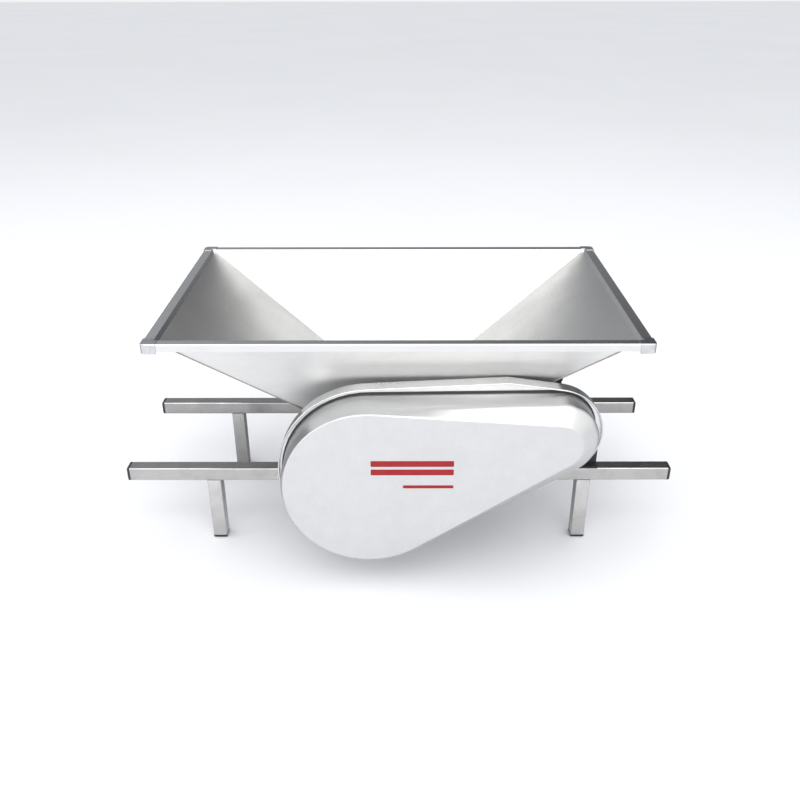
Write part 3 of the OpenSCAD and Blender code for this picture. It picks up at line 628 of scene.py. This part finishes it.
def plug_rings(base, out, half, lip, wall, corner):
    """Rings of a push-in tube plug whose lip stands out from base along a unit vector."""
    u = Vector((0, 1, 0))
    v = out.cross(u)
    inner = half - wall - 0.2 * MM
    inner_corner = 1.2 * MM
    stem = 14 * MM
    steps = [  # place along the plug, half size, corner radius
        (-stem, inner - 0.6 * MM, inner_corner),
        (MM - stem, inner, inner_corner),
        (0.0, inner, inner_corner),
        (0.0, half, corner),
        (lip * 0.55, half, corner),
        (lip * 0.85, half - 0.5 * MM, corner),
        (lip, half - 1.5 * MM, corner),
        (lip, half - 4 * MM, corner),
        (lip * 0.86, half - 5 * MM, corner),
    ]
    return [
        [base + out * place + u * a + v * b for a, b in rounded_square(size, size, radius)]
        for place, size, radius in steps
    ]


class CRUSHER_OT_plugs(CrusherOperator, bpy.types.Operator):
    """Model the plastic plugs in the rails' ends and under the legs"""

    bl_idname = "crusher.plugs"
    bl_label = "Plugs"

    def build(self, sizes, tones):
        low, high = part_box("front_rail")
        half = (high.y - low.y) / 2
        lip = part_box("rail_end_caps")[1].x - high.x
        for node, face in (("front_rail", "front"), ("rear_rail", "back")):
            centre, reach = middle(node)
            for side, way in (("left", -1), ("right", 1)):
                base = centre + Vector((way * reach.x, 0, 0))
                out = Vector((way, 0, 0))
                rings = plug_rings(base, out, half, lip, sizes.tube_wall, sizes.plug_corner)
                piece = loft(f"rail_plug_{face}_{side}", rings)
                settle(piece, BODY, "black_plastic", "black", "rail_end_caps")
        down = Vector((0, 0, -1))
        for corner, x, y in leg_middles():
            base = Vector((x, y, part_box("legs")[0].z))
            rings = plug_rings(base, down, half, lip, sizes.tube_wall, sizes.plug_corner)
            piece = loft(f"foot_plug_{corner}", rings)
            settle(piece, BODY, "black_plastic", "black", "foot_caps")


def hopper_shape(sizes):
    """The hopper's inner faces: half sizes at the mouth, and slopes of the end and long walls."""
    end_low, end_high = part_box("hopper_right_wall")
    long_low, long_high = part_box("hopper_rear_wall")
    top = end_high.z
    foot_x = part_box("box_right_plate")[0].x
    outer_x = end_high.x
    outer_y = long_high.y
    end_slope = (outer_x - end_low.x - sizes.sheet) / (top - end_low.z)
    side_slope = (outer_y - long_low.y - sizes.sheet) / (top - long_low.z)
    # A sheet measured level is thicker the more it leans, and its lean depends on that: a few rounds agree
    for _ in range(8):
        end_skew = sizes.sheet * math.hypot(1, end_slope)
        side_skew = sizes.sheet * math.hypot(1, side_slope)
        end_slope = (outer_x - end_skew - foot_x) / (top - end_low.z)
        side_slope = (outer_y - side_skew - long_low.y) / (top - long_low.z)
    return {
        "top": top, "end_foot": end_low.z, "side_foot": long_low.z,
        "x": outer_x - end_skew, "y": outer_y - side_skew,
        "end_slope": end_slope, "side_slope": side_slope,
        "end_skew": end_skew, "side_skew": side_skew, "foot_x": foot_x,
    }


def hopper_at(shape, z, outside=False):
    """Half sizes of the hopper's inside, or outside, at height z."""
    drop = shape["top"] - z
    x = shape["x"] - shape["end_slope"] * drop
    y = shape["y"] - shape["side_slope"] * drop
    if outside:
        return x + shape["end_skew"], y + shape["side_skew"]
    return x, y


class CRUSHER_OT_hopper(CrusherOperator, bpy.types.Operator):
    """Model the hopper's four mitred walls, each a sheet with its own thickness"""

    bl_idname = "crusher.hopper"
    bl_label = "Hopper walls"

    def build(self, sizes, tones):
        shape = hopper_shape(sizes)
        top = shape["top"] - 2 * sizes.rim_fold
        levels = [top, shape["end_foot"]]
        for name, way in (("left", -1), ("right", 1)):
            rings = []
            for outside in (False, True):
                (x0, y0), (x1, y1) = [hopper_at(shape, z, outside) for z in levels]
                rings.append(
                    [
                        (way * x0, -y0, levels[0]), (way * x0, y0, levels[0]),
                        (way * x1, y1, levels[1]), (way * x1, -y1, levels[1]),
                    ]
                )
            piece = loft(f"hopper_wall_{name}", rings)
            settle(piece, BODY, "hopper_sheet", "sheet_y_painted_shade", f"hopper_{name}_wall")
        foot, side_foot = shape["foot_x"] + shape["end_skew"], shape["side_foot"]
        for name, node, way in (("front", "hopper_front_wall", -1), ("back", "hopper_rear_wall", 1)):
            rings = []
            for outside in (False, True):
                (x0, y0), (x1, y1) = [hopper_at(shape, z, outside) for z in levels]
                y2 = hopper_at(shape, side_foot, outside)[1]
                rings.append(
                    [
                        (-x0, way * y0, levels[0]), (x0, way * y0, levels[0]),
                        (x1, way * y1, levels[1]), (foot, way * y2, side_foot),
                        (-foot, way * y2, side_foot), (-x1, way * y1, levels[1]),
                    ]
                )
            piece = loft(f"hopper_wall_{name}", rings)
            settle(piece, BODY, "hopper_sheet", "sheet_x_painted_light", node)


class CRUSHER_OT_rim(CrusherOperator, bpy.types.Operator):
    """Model the folded rim: out from the walls, along a flat flange and down a skirt"""

    bl_idname = "crusher.rim"
    bl_label = "Rim"

    def build(self, sizes, tones):
        shape = hopper_shape(sizes)
        low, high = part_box("rim_frame")
        sheet = sizes.sheet
        start = shape["top"] - 2 * sizes.rim_fold
        (in_x, in_y), (out_x, out_y) = [hopper_at(shape, start, outside) for outside in (False, True)]
        mouth_x, mouth_y = hopper_at(shape, high.z)
        under_x, under_y = hopper_at(shape, high.z - sheet, True)
        upper_x = [(in_x, start), (mouth_x, high.z), (high.x, high.z), (high.x, low.z)]
        upper_y = [(in_y, start), (mouth_y, high.z), (high.y, high.z), (high.y, low.z)]
        skin_x, skin_y, skin_z = high - Vector((sheet, sheet, sheet))
        lower_x = [(skin_x, low.z), (skin_x, skin_z), (under_x, skin_z), (out_x, start)]
        lower_y = [(skin_y, low.z), (skin_y, skin_z), (under_y, skin_z), (out_y, start)]
        fold = sizes.rim_fold
        profile = list(zip(fillet(upper_x, fold), fillet(upper_y, fold)))
        tight = 0.4 * MM
        profile += list(zip(fillet(lower_x, tight, 2), fillet(lower_y, tight, 2)))
        rings = []
        for x_point, y_point in profile:
            near_rim = max(0.0, 1 - (high.x - x_point[0]) / (high.x - mouth_x))
            radius = tight + (sizes.rim_corner - tight) * near_rim
            outline = rounded_square(x_point[0], y_point[0], radius, 6)
            rings.append(along_z(outline, x_point[1]))
        rings.append(rings[0])
        piece = loft("rim_flange", rings, closed=True)
        settle(piece, BODY, "hopper_sheet", "rim", "rim_frame")


class CRUSHER_OT_corner_caps(CrusherOperator, bpy.types.Operator):
    """Model the pressed caps that close the rim's corners"""

    bl_idname = "crusher.corner_caps"
    bl_label = "Corner caps"

    def build(self, sizes, tones):
        low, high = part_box("rim_corner_caps")
        _, rim_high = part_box("rim_frame")
        wall = high.x - rim_high.x
        top = high.z - rim_high.z
        outer_r = sizes.rim_corner + wall
        deep = sizes.cap_depth
        outside = [(0.0, low.z), (0.0, high.z), (deep, high.z)]
        inside = [(deep, high.z - top), (wall, high.z - top), (wall, low.z)]
        profile = fillet(outside, sizes.cap_round, 5) + [Vector(p) for p in inside]

        def corner_point(inset, angle):
            radius = max(outer_r - inset, 0.3 * MM)
            centre = Vector((high.x - inset - radius, high.y - inset - radius))
            return centre + radius * Vector((math.cos(angle), math.sin(angle)))

        turns = 8
        stations = []
        for step in range(turns + 1):
            angle = QUARTER * step / turns
            stations.append([(*corner_point(inset, angle), z) for inset, z in profile])
        reach_x = rim_high.x - sizes.cap_reach
        reach_y = rim_high.y - sizes.cap_reach
        first = [(point[0], reach_y, point[2]) for point in stations[0]]
        last = [(reach_x, point[1], point[2]) for point in stations[-1]]
        for corner, sx, sy in CORNERS:
            rings = [[(sx * x, sy * y, z) for x, y, z in ring] for ring in [first, *stations, last]]
            piece = loft(f"corner_cap_{corner}", rings)
            edges = {"limit_method": "ANGLE", "angle_limit": math.radians(60)}
            apply_modifier(piece, "BEVEL", width=0.35 * MM, segments=2, **edges)
            settle(piece, BODY, "corner_steel", "cap", "rim_corner_caps")


class CRUSHER_OT_welds(CrusherOperator, bpy.types.Operator):
    """Model the weld beads round the legs' tops and down the hopper's corners"""

    bl_idname = "crusher.welds"
    bl_label = "Welds"

    def build(self, sizes, tones):
        shape = hopper_shape(sizes)
        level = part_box("legs")[1].z
        half = middle("front_rail")[1].y
        run = half - 3 * MM
        for corner, x, y in leg_middles():
            for number, way in enumerate((-1, 1)):
                across = x + way * half
                path = spaced((across, y - run, level), (across, y + run, level))
                piece = bead(f"leg_weld_{corner}_{number}", path, sizes.weld)
                settle(piece, BODY, "tube_steel", "weld")
        top = shape["top"] - 8 * MM
        foot = shape["end_foot"]
        for corner, sx, sy in CORNERS:
            path = self.down_corner(shape, sx, sy, top - 12 * MM, foot, True, 1.5 * MM)
            piece = bead(f"hopper_weld_{corner}", path, sizes.weld * 0.8, sides=6, pitch=5 * MM)
            settle(piece, BODY, "hopper_sheet", "weld")
            path = self.down_corner(shape, sx, sy, top, foot, False, 3 * MM)
            piece = bead(f"hopper_seam_{corner}", path, sizes.weld * 0.45, ripple=0.0)
            settle(piece, BODY, "hopper_sheet", "sheet_y_painted_shade")

    def down_corner(self, shape, sx, sy, top, foot, outside, step):
        """Points down one of the hopper's corners."""
        ends = []
        for z in (top, foot):
            x, y = hopper_at(shape, z, outside)
            ends.append((sx * x, sy * y, z))
        return spaced(*ends, step=step)


def shell_circles(sizes):
    """The two circles of the front shell's side, from its box."""
    low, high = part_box("cover_front_shell")
    big, small = sizes.shell_big, sizes.shell_small
    return [
        (low.x + big, low.z + big, big),
        (high.x - small, high.z - small, small),
    ]


class CRUSHER_OT_cover_shell(CrusherOperator, bpy.types.Operator):
    """Model the belt cover's front: a side wall, a slope and a flat pear-shaped face"""

    bl_idname = "crusher.cover_shell"
    bl_label = "Cover shell"

    def build(self, sizes, tones):
        low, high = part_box("cover_front_shell")
        big, small = shell_circles(sizes)
        back, front = high.y, low.y
        bevel = back - sizes.shell_side
        left_big, left_small = 3 * MM, 4.5 * MM  # how far the face's ends sit left of the side's
        face_big = (big[0] - left_big, big[1] + sizes.face_rise, sizes.face_big)
        face_small = (small[0] - left_small, small[1], sizes.face_small)
        edge_round = 2.4 * MM
        steps = 6

        def between(share, y, inset=0.0):
            """A ring part of the way from the side's outline to the face's outline."""
            side = round_hull([big, small], inset)
            face = round_hull([face_big, face_small], inset)
            return along_y([p.lerp(q, share) for p, q in zip(side, face)], y)

        slope = front - bevel
        bent, straight = 0.28, 0.84
        rings = [between(0, back), between(0, bevel + sizes.shell_round)]
        for step in range(1, steps):
            t = step / steps
            y = bevel + sizes.shell_round * (1 - t) ** 2 + slope * bent * t * t
            rings.append(between(bent * t * t, y))
        for share in (bent, 0.55, straight):
            rings.append(between(share, bevel + slope * share))
        for step in range(1, steps):
            t = step / steps
            share = straight + 2 * (1 - straight) * t * (1 - t) + (1 - straight) * t * t
            rings.append(between(share, bevel + slope * share, edge_round * t * t))
        rings.append(between(1, front, edge_round))
        rings.append(between(1, front, 2.5 * edge_round))
        piece = loft("cover_shell", rings)
        self.open_back(piece, back)
        apply_modifier(piece, "SOLIDIFY", thickness=sizes.cover_sheet, offset=-1.0, use_even_offset=True)
        settle(piece, BODY, "cover_sheet", "cover", "cover_front_shell")

    def open_back(self, piece, back):
        """Deletes the face that closes the shell's back."""
        bpy.ops.object.mode_set(mode="EDIT")
        bpy.ops.mesh.select_all(action="DESELECT")
        bpy.ops.mesh.select_mode(type="FACE")
        mesh = bmesh.from_edit_mesh(piece.data)
        for face in mesh.faces:
            face.select = all(abs(vertex.co.y - back) < 0.01 * MM for vertex in face.verts)
        bpy.ops.mesh.delete(type="FACE")
        bpy.ops.mesh.select_mode(type="VERT")
        bpy.ops.object.mode_set(mode="OBJECT")


class CRUSHER_OT_cover_pan(CrusherOperator, bpy.types.Operator):
    """Model the belt cover's back pan: a back, a side wall, a rolled front edge and an inner lip"""

    bl_idname = "crusher.cover_pan"
    bl_label = "Cover pan"

    def build(self, sizes, tones):
        low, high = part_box("cover_back_pan")
        shell_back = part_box("cover_front_shell")[1].y
        sheet = sizes.cover_sheet
        peak = 3 * MM
        circles = [
            (low.x + sizes.pan_big, low.z + sizes.pan_big, sizes.pan_big),
            (high.x - sizes.pan_small, sizes.pan_small_height, sizes.pan_small),
            (sizes.pan_peak, high.z - peak, peak),
        ]
        shell = shell_circles(sizes)
        corner = 2.5 * MM

        def ring(inset, y):
            usable = [(x, z, max(r, inset + 0.2 * MM)) for x, z, r in circles]
            return along_y(round_hull(usable, inset, 32, 8), y)

        def lip_ring(inset, y):
            """Points on the shell's outline, one for each point of the pan's."""
            outline = round_hull(shell, inset)
            centre = Vector((sum(p[0] for p in outline), sum(p[1] for p in outline))) / len(outline)
            return [along_ray(outline, centre, Vector((x, z)) - centre, y) for x, _, z in ring(0, y)]

        rings = [ring(corner + 4 * MM, high.y), ring(corner, high.y)]
        for step in (1, 2, 3):
            angle = QUARTER * step / 4
            rings.append(ring(corner * (1 - math.sin(angle)), high.y - corner * (1 - math.cos(angle))))
        rings.append(ring(0, high.y - corner))
        roll = 1.6 * MM
        centre_y = low.y + roll
        rings.append(ring(0, centre_y + 2.2 * roll))
        for step in range(9):
            angle = math.pi * step / 8
            rings.append(ring(roll * (1 - math.cos(angle)) - 0.9 * roll, centre_y - roll * math.sin(angle)))
        inner, lip_width = 1.5 * sheet, 8 * MM
        lip_front, lip_back = shell_back + 0.2 * sheet, shell_back + 1.1 * sheet
        rings += [ring(inner, lip_front), lip_ring(lip_width, lip_front)]
        rings += [lip_ring(lip_width, lip_back), ring(inner, lip_back), ring(inner, high.y - sheet)]
        piece = loft("cover_pan", rings)
        settle(piece, BODY, "cover_sheet", "pan", "cover_back_pan")
        # The gasket strip: a dark seal that also paints the shade in the gap round the shell
        face, seat, beside, past = shell_back - 1.2 * MM, shell_back, -0.2 * MM, -sizes.gasket_gap_shade
        strip = [lip_ring(beside, face), lip_ring(past, face), lip_ring(past, seat), lip_ring(beside, seat)]
        gasket_gap_shade = loft("cover_gasket", [*strip, strip[0]], closed=True)
        settle(gasket_gap_shade, BODY, "cover_sheet", "gasket_gap_shade")


def along_ray(outline, centre, way, y):
    """Where a ray from the centre leaves a closed flat outline, stood at y."""
    farthest = None
    for a, b in zip(outline, outline[1:] + outline[:1]):
        a, b = a - centre, b - centre
        edge = b - a
        crossing = way.x * edge.y - way.y * edge.x
        if abs(crossing) < 1e-12:
            continue
        reach = (a.x * edge.y - a.y * edge.x) / crossing
        along = (a.x * way.y - a.y * way.x) / crossing
        if reach > 0 and -1e-6 <= along <= 1 + 1e-6 and (farthest is None or reach > farthest):
            farthest = reach
    hit = centre + way * farthest
    return (hit.x, y, hit.y)


class CRUSHER_OT_rollers(CrusherOperator, bpy.types.Operator):
    """Model the two fluted rollers"""

    bl_idname = "crusher.rollers"
    bl_label = "Rollers"

    def build(self, sizes, tones):
        flutes = 8
        root_share, crest_fullness = 0.15, 0.8
        points = 24 * flutes
        angles = [2 * math.pi * i / points for i in range(points)]
        for node, body in (("driven_roller", DRIVEN), ("idler_roller", IDLER)):
            low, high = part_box(node)
            shaft, shaft_half = middle(node.replace("roller", "shaft"))
            crest = high.z - shaft.z
            root = crest - sizes.flute_depth
            bore = shaft_half.z + 0.05 * MM

            def on_circle(radius, angle, y):
                return (shaft.x + radius * math.cos(angle), y, shaft.z + radius * math.sin(angle))

            def ring(y, shrink):
                made = []
                for angle in angles:
                    lobe = math.cos(flutes * (angle - math.pi / flutes))
                    rise = max(0.0, (lobe + root_share) / (1 + root_share)) ** crest_fullness
                    made.append(on_circle(root + (crest - root) * rise - shrink, angle, y))
                return made

            def bore_ring(y):
                return [on_circle(bore, angle, y) for angle in angles]

            edge = 2 * MM
            rings = [
                bore_ring(low.y), ring(low.y, 3 * edge), ring(low.y, edge),
                ring(low.y + 0.3 * edge, 0.3 * edge), ring(low.y + edge, 0),
                ring(high.y - edge, 0), ring(high.y - 0.3 * edge, 0.3 * edge),
                ring(high.y, edge), ring(high.y, 3 * edge), bore_ring(high.y), bore_ring(low.y),
            ]
            piece = loft(f"{node}_cover", rings, closed=True)
            settle(piece, body, "roller_rubber", "rubber", node, angle=50)


class CRUSHER_OT_label(CrusherOperator, bpy.types.Operator):
    """Model the plain printed stripes on the cover's face"""

    bl_idname = "crusher.label"
    bl_label = "Label"

    def build(self, sizes, tones):
        low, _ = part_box("cover_front_shell")
        right = low.x + 341 * MM
        stripes = [  # width, height, height of the middle
            (160 * MM, 13 * MM, 303 * MM),
            (160 * MM, 13 * MM, 284 * MM),
            (98 * MM, 7 * MM, 251 * MM),
        ]
        for number, (width, height, z) in enumerate(stripes):
            x = right - width / 2
            outline = [(x + u, z + v) for u, v in rounded_square(width / 2, height / 2, 2 * MM)]
            rings = [along_y(outline, low.y - 0.02 * MM), along_y(outline, low.y - 0.12 * MM)]
            piece = loft(f"label_stripe_{number}", rings)
            settle(piece, BODY, "stop_red", "label")


class CRUSHER_OT_stage(CrusherOperator, bpy.types.Operator):
    """Lay the floor and set the lights, the surroundings and the camera"""

    bl_idname = "crusher.stage"
    bl_label = "Stage"

    def build(self, sizes, tones):
        self.lay_floor(tones)
        self.light()
        self.surround()
        self.set_camera()

    def lay_floor(self, tones):
        """A pale floor, which shows darker in reflections behind the crusher, as a dim room does."""
        bpy.ops.object.select_all(action="DESELECT")
        bpy.ops.mesh.primitive_plane_add(size=60, location=(0, 0, -0.0005))
        floor = bpy.context.object
        floor.name = "studio_floor"
        material, tree, shader, where = blank_material("Studio floor")
        cloud = place_group(tree, "blotch", where, Size=0.6)
        pale = tinted(tree, tones.floor, scaled(tones.floor, 0.97), cloud, 0.7)
        depth = tree.nodes.new("ShaderNodeSeparateXYZ")
        tree.links.new(where, depth.inputs[0])
        behind = ranged(tree, depth.outputs["Y"], -0.35, 0.3)
        path = tree.nodes.new("ShaderNodeLightPath")
        dim = mix_values(tree, "MULTIPLY", behind, path.outputs["Is Glossy Ray"])
        shade = tinted(tree, pale, (0.2, 0.2, 0.21), dim, 1.0)
        feed(tree, shader, Base_Color=shade, Roughness=0.95, Specular_IOR_Level=0.0)
        floor.data.materials.append(material)

    def light(self):
        panels = [  # name, place, turned in degrees, size, power
            ("front_panel", (0.0, -3.8, 2.9), (58, 0, 0), 5.4, 100),
            ("top_panel", (0.0, -0.5, 3.8), (6, 0, 0), 5.0, 75),
            ("left_panel", (-3.6, -0.8, 1.8), (70, 0, -80), 2.0, 20),
        ]
        for name, place, turned, size, power in panels:
            bpy.ops.object.select_all(action="DESELECT")
            angles = [math.radians(a) for a in turned]
            bpy.ops.object.light_add(type="AREA", location=place, rotation=angles)
            lamp = bpy.context.object
            lamp.name = name
            lamp.data.size = size
            lamp.data.energy = power

    def surround(self):
        """A pale room whose far side shows dimmer in reflections, most of all low down and on the right."""
        world = bpy.data.worlds.new("Studio")
        bpy.context.scene.world = world
        world.use_nodes = True
        tree = world.node_tree
        tree.nodes.clear()
        way = tree.nodes.new("ShaderNodeTexCoord").outputs["Generated"]
        parts = tree.nodes.new("ShaderNodeSeparateXYZ")
        tree.links.new(way, parts.inputs[0])
        right = ranged(tree, parts.outputs["X"], -0.3, 0.3)
        low = ranged(tree, parts.outputs["Z"], 0.3, 0.0)
        upper = ranged(tree, parts.outputs["Z"], 0.29, 0.4)
        high = ranged(tree, parts.outputs["Z"], 0.75, 0.9)
        behind = ranged(tree, parts.outputs["Y"], 0.1, 0.6)
        white, grey, dark = (1.0, 1.0, 1.0), (0.2, 0.2, 0.21), (0.03, 0.03, 0.035)
        dim = tinted(tree, grey, dark, upper, 1.0)
        far = tinted(tree, (0.32, 0.33, 0.35), dim, right, 1.0)
        far = tinted(tree, far, dark, low, 0.85)
        tone = tinted(tree, white, far, behind, 1.0)
        tone = tinted(tree, tone, white, high, 1.0)
        pale = add_node(tree, "ShaderNodeBackground", Color=(0.97, 0.98, 1.0, 1), Strength=0.92)
        reflected = add_node(tree, "ShaderNodeBackground", Color=tone, Strength=1.3)
        path = tree.nodes.new("ShaderNodeLightPath")
        choose = tree.nodes.new("ShaderNodeMixShader")
        tree.links.new(path.outputs["Is Glossy Ray"], choose.inputs[0])
        tree.links.new(pale.outputs[0], choose.inputs[1])
        tree.links.new(reflected.outputs[0], choose.inputs[2])
        end = tree.nodes.new("ShaderNodeOutputWorld")
        tree.links.new(choose.outputs[0], end.inputs["Surface"])

    def set_camera(self):
        """A camera before the crusher, tilted down at it."""
        place = (0.004, -1.721, 1.153)
        tilt, roll = math.radians(90 - 27.38), math.radians(0.07)
        bpy.ops.object.select_all(action="DESELECT")
        bpy.ops.object.camera_add(location=place, rotation=(tilt, roll, 0))
        camera = bpy.context.object
        camera.data.lens = 37.93
        camera.data.sensor_width = 36.0
        camera.data.dof.use_dof = False
        bpy.context.scene.camera = camera
        bpy.context.scene.view_settings.view_transform = "Standard"


# ---- add-on ----

STEPS = (
    CRUSHER_OT_finishes,
    CRUSHER_OT_tubes,
    CRUSHER_OT_plugs,
    CRUSHER_OT_hopper,
    CRUSHER_OT_rim,
    CRUSHER_OT_corner_caps,
    CRUSHER_OT_welds,
    CRUSHER_OT_rollers,
    CRUSHER_OT_cover_shell,
    CRUSHER_OT_cover_pan,
    CRUSHER_OT_label,
    CRUSHER_OT_stage,
)


class CRUSHER_PT_panel(bpy.types.Panel):
    """The crusher's sizes, colours and building steps"""

    bl_idname = "CRUSHER_PT_panel"
    bl_label = "Grape crusher"
    bl_space_type = "VIEW_3D"
    bl_region_type = "UI"
    bl_category = "Crusher"

    def draw(self, context):
        column = self.layout.column()
        for step in STEPS:
            column.operator(step.bl_idname)
        for group in (context.scene.crusher_sizes, context.scene.crusher_colours):
            for setting in group.bl_rna.properties:
                if setting.identifier not in ("rna_type", "name"):
                    column.prop(group, setting.identifier)


CLASSES = (CrusherSizes, CrusherColours, *STEPS, CRUSHER_PT_panel)


def register():
    """Adds the classes and the scene's settings."""
    for made in CLASSES:
        bpy.utils.register_class(made)
    bpy.types.Scene.crusher_sizes = bpy.props.PointerProperty(type=CrusherSizes)
    bpy.types.Scene.crusher_colours = bpy.props.PointerProperty(type=CrusherColours)


def unregister():
    """Takes them away again."""
    del bpy.types.Scene.crusher_sizes
    del bpy.types.Scene.crusher_colours
    for made in reversed(CLASSES):
        bpy.utils.unregister_class(made)


def main():
    """Builds everything in order."""
    register()
    for step in STEPS:
        group, name = step.bl_idname.split(".")
        getattr(getattr(bpy.ops, group), name)()


if __name__ == "__main__":
    main()
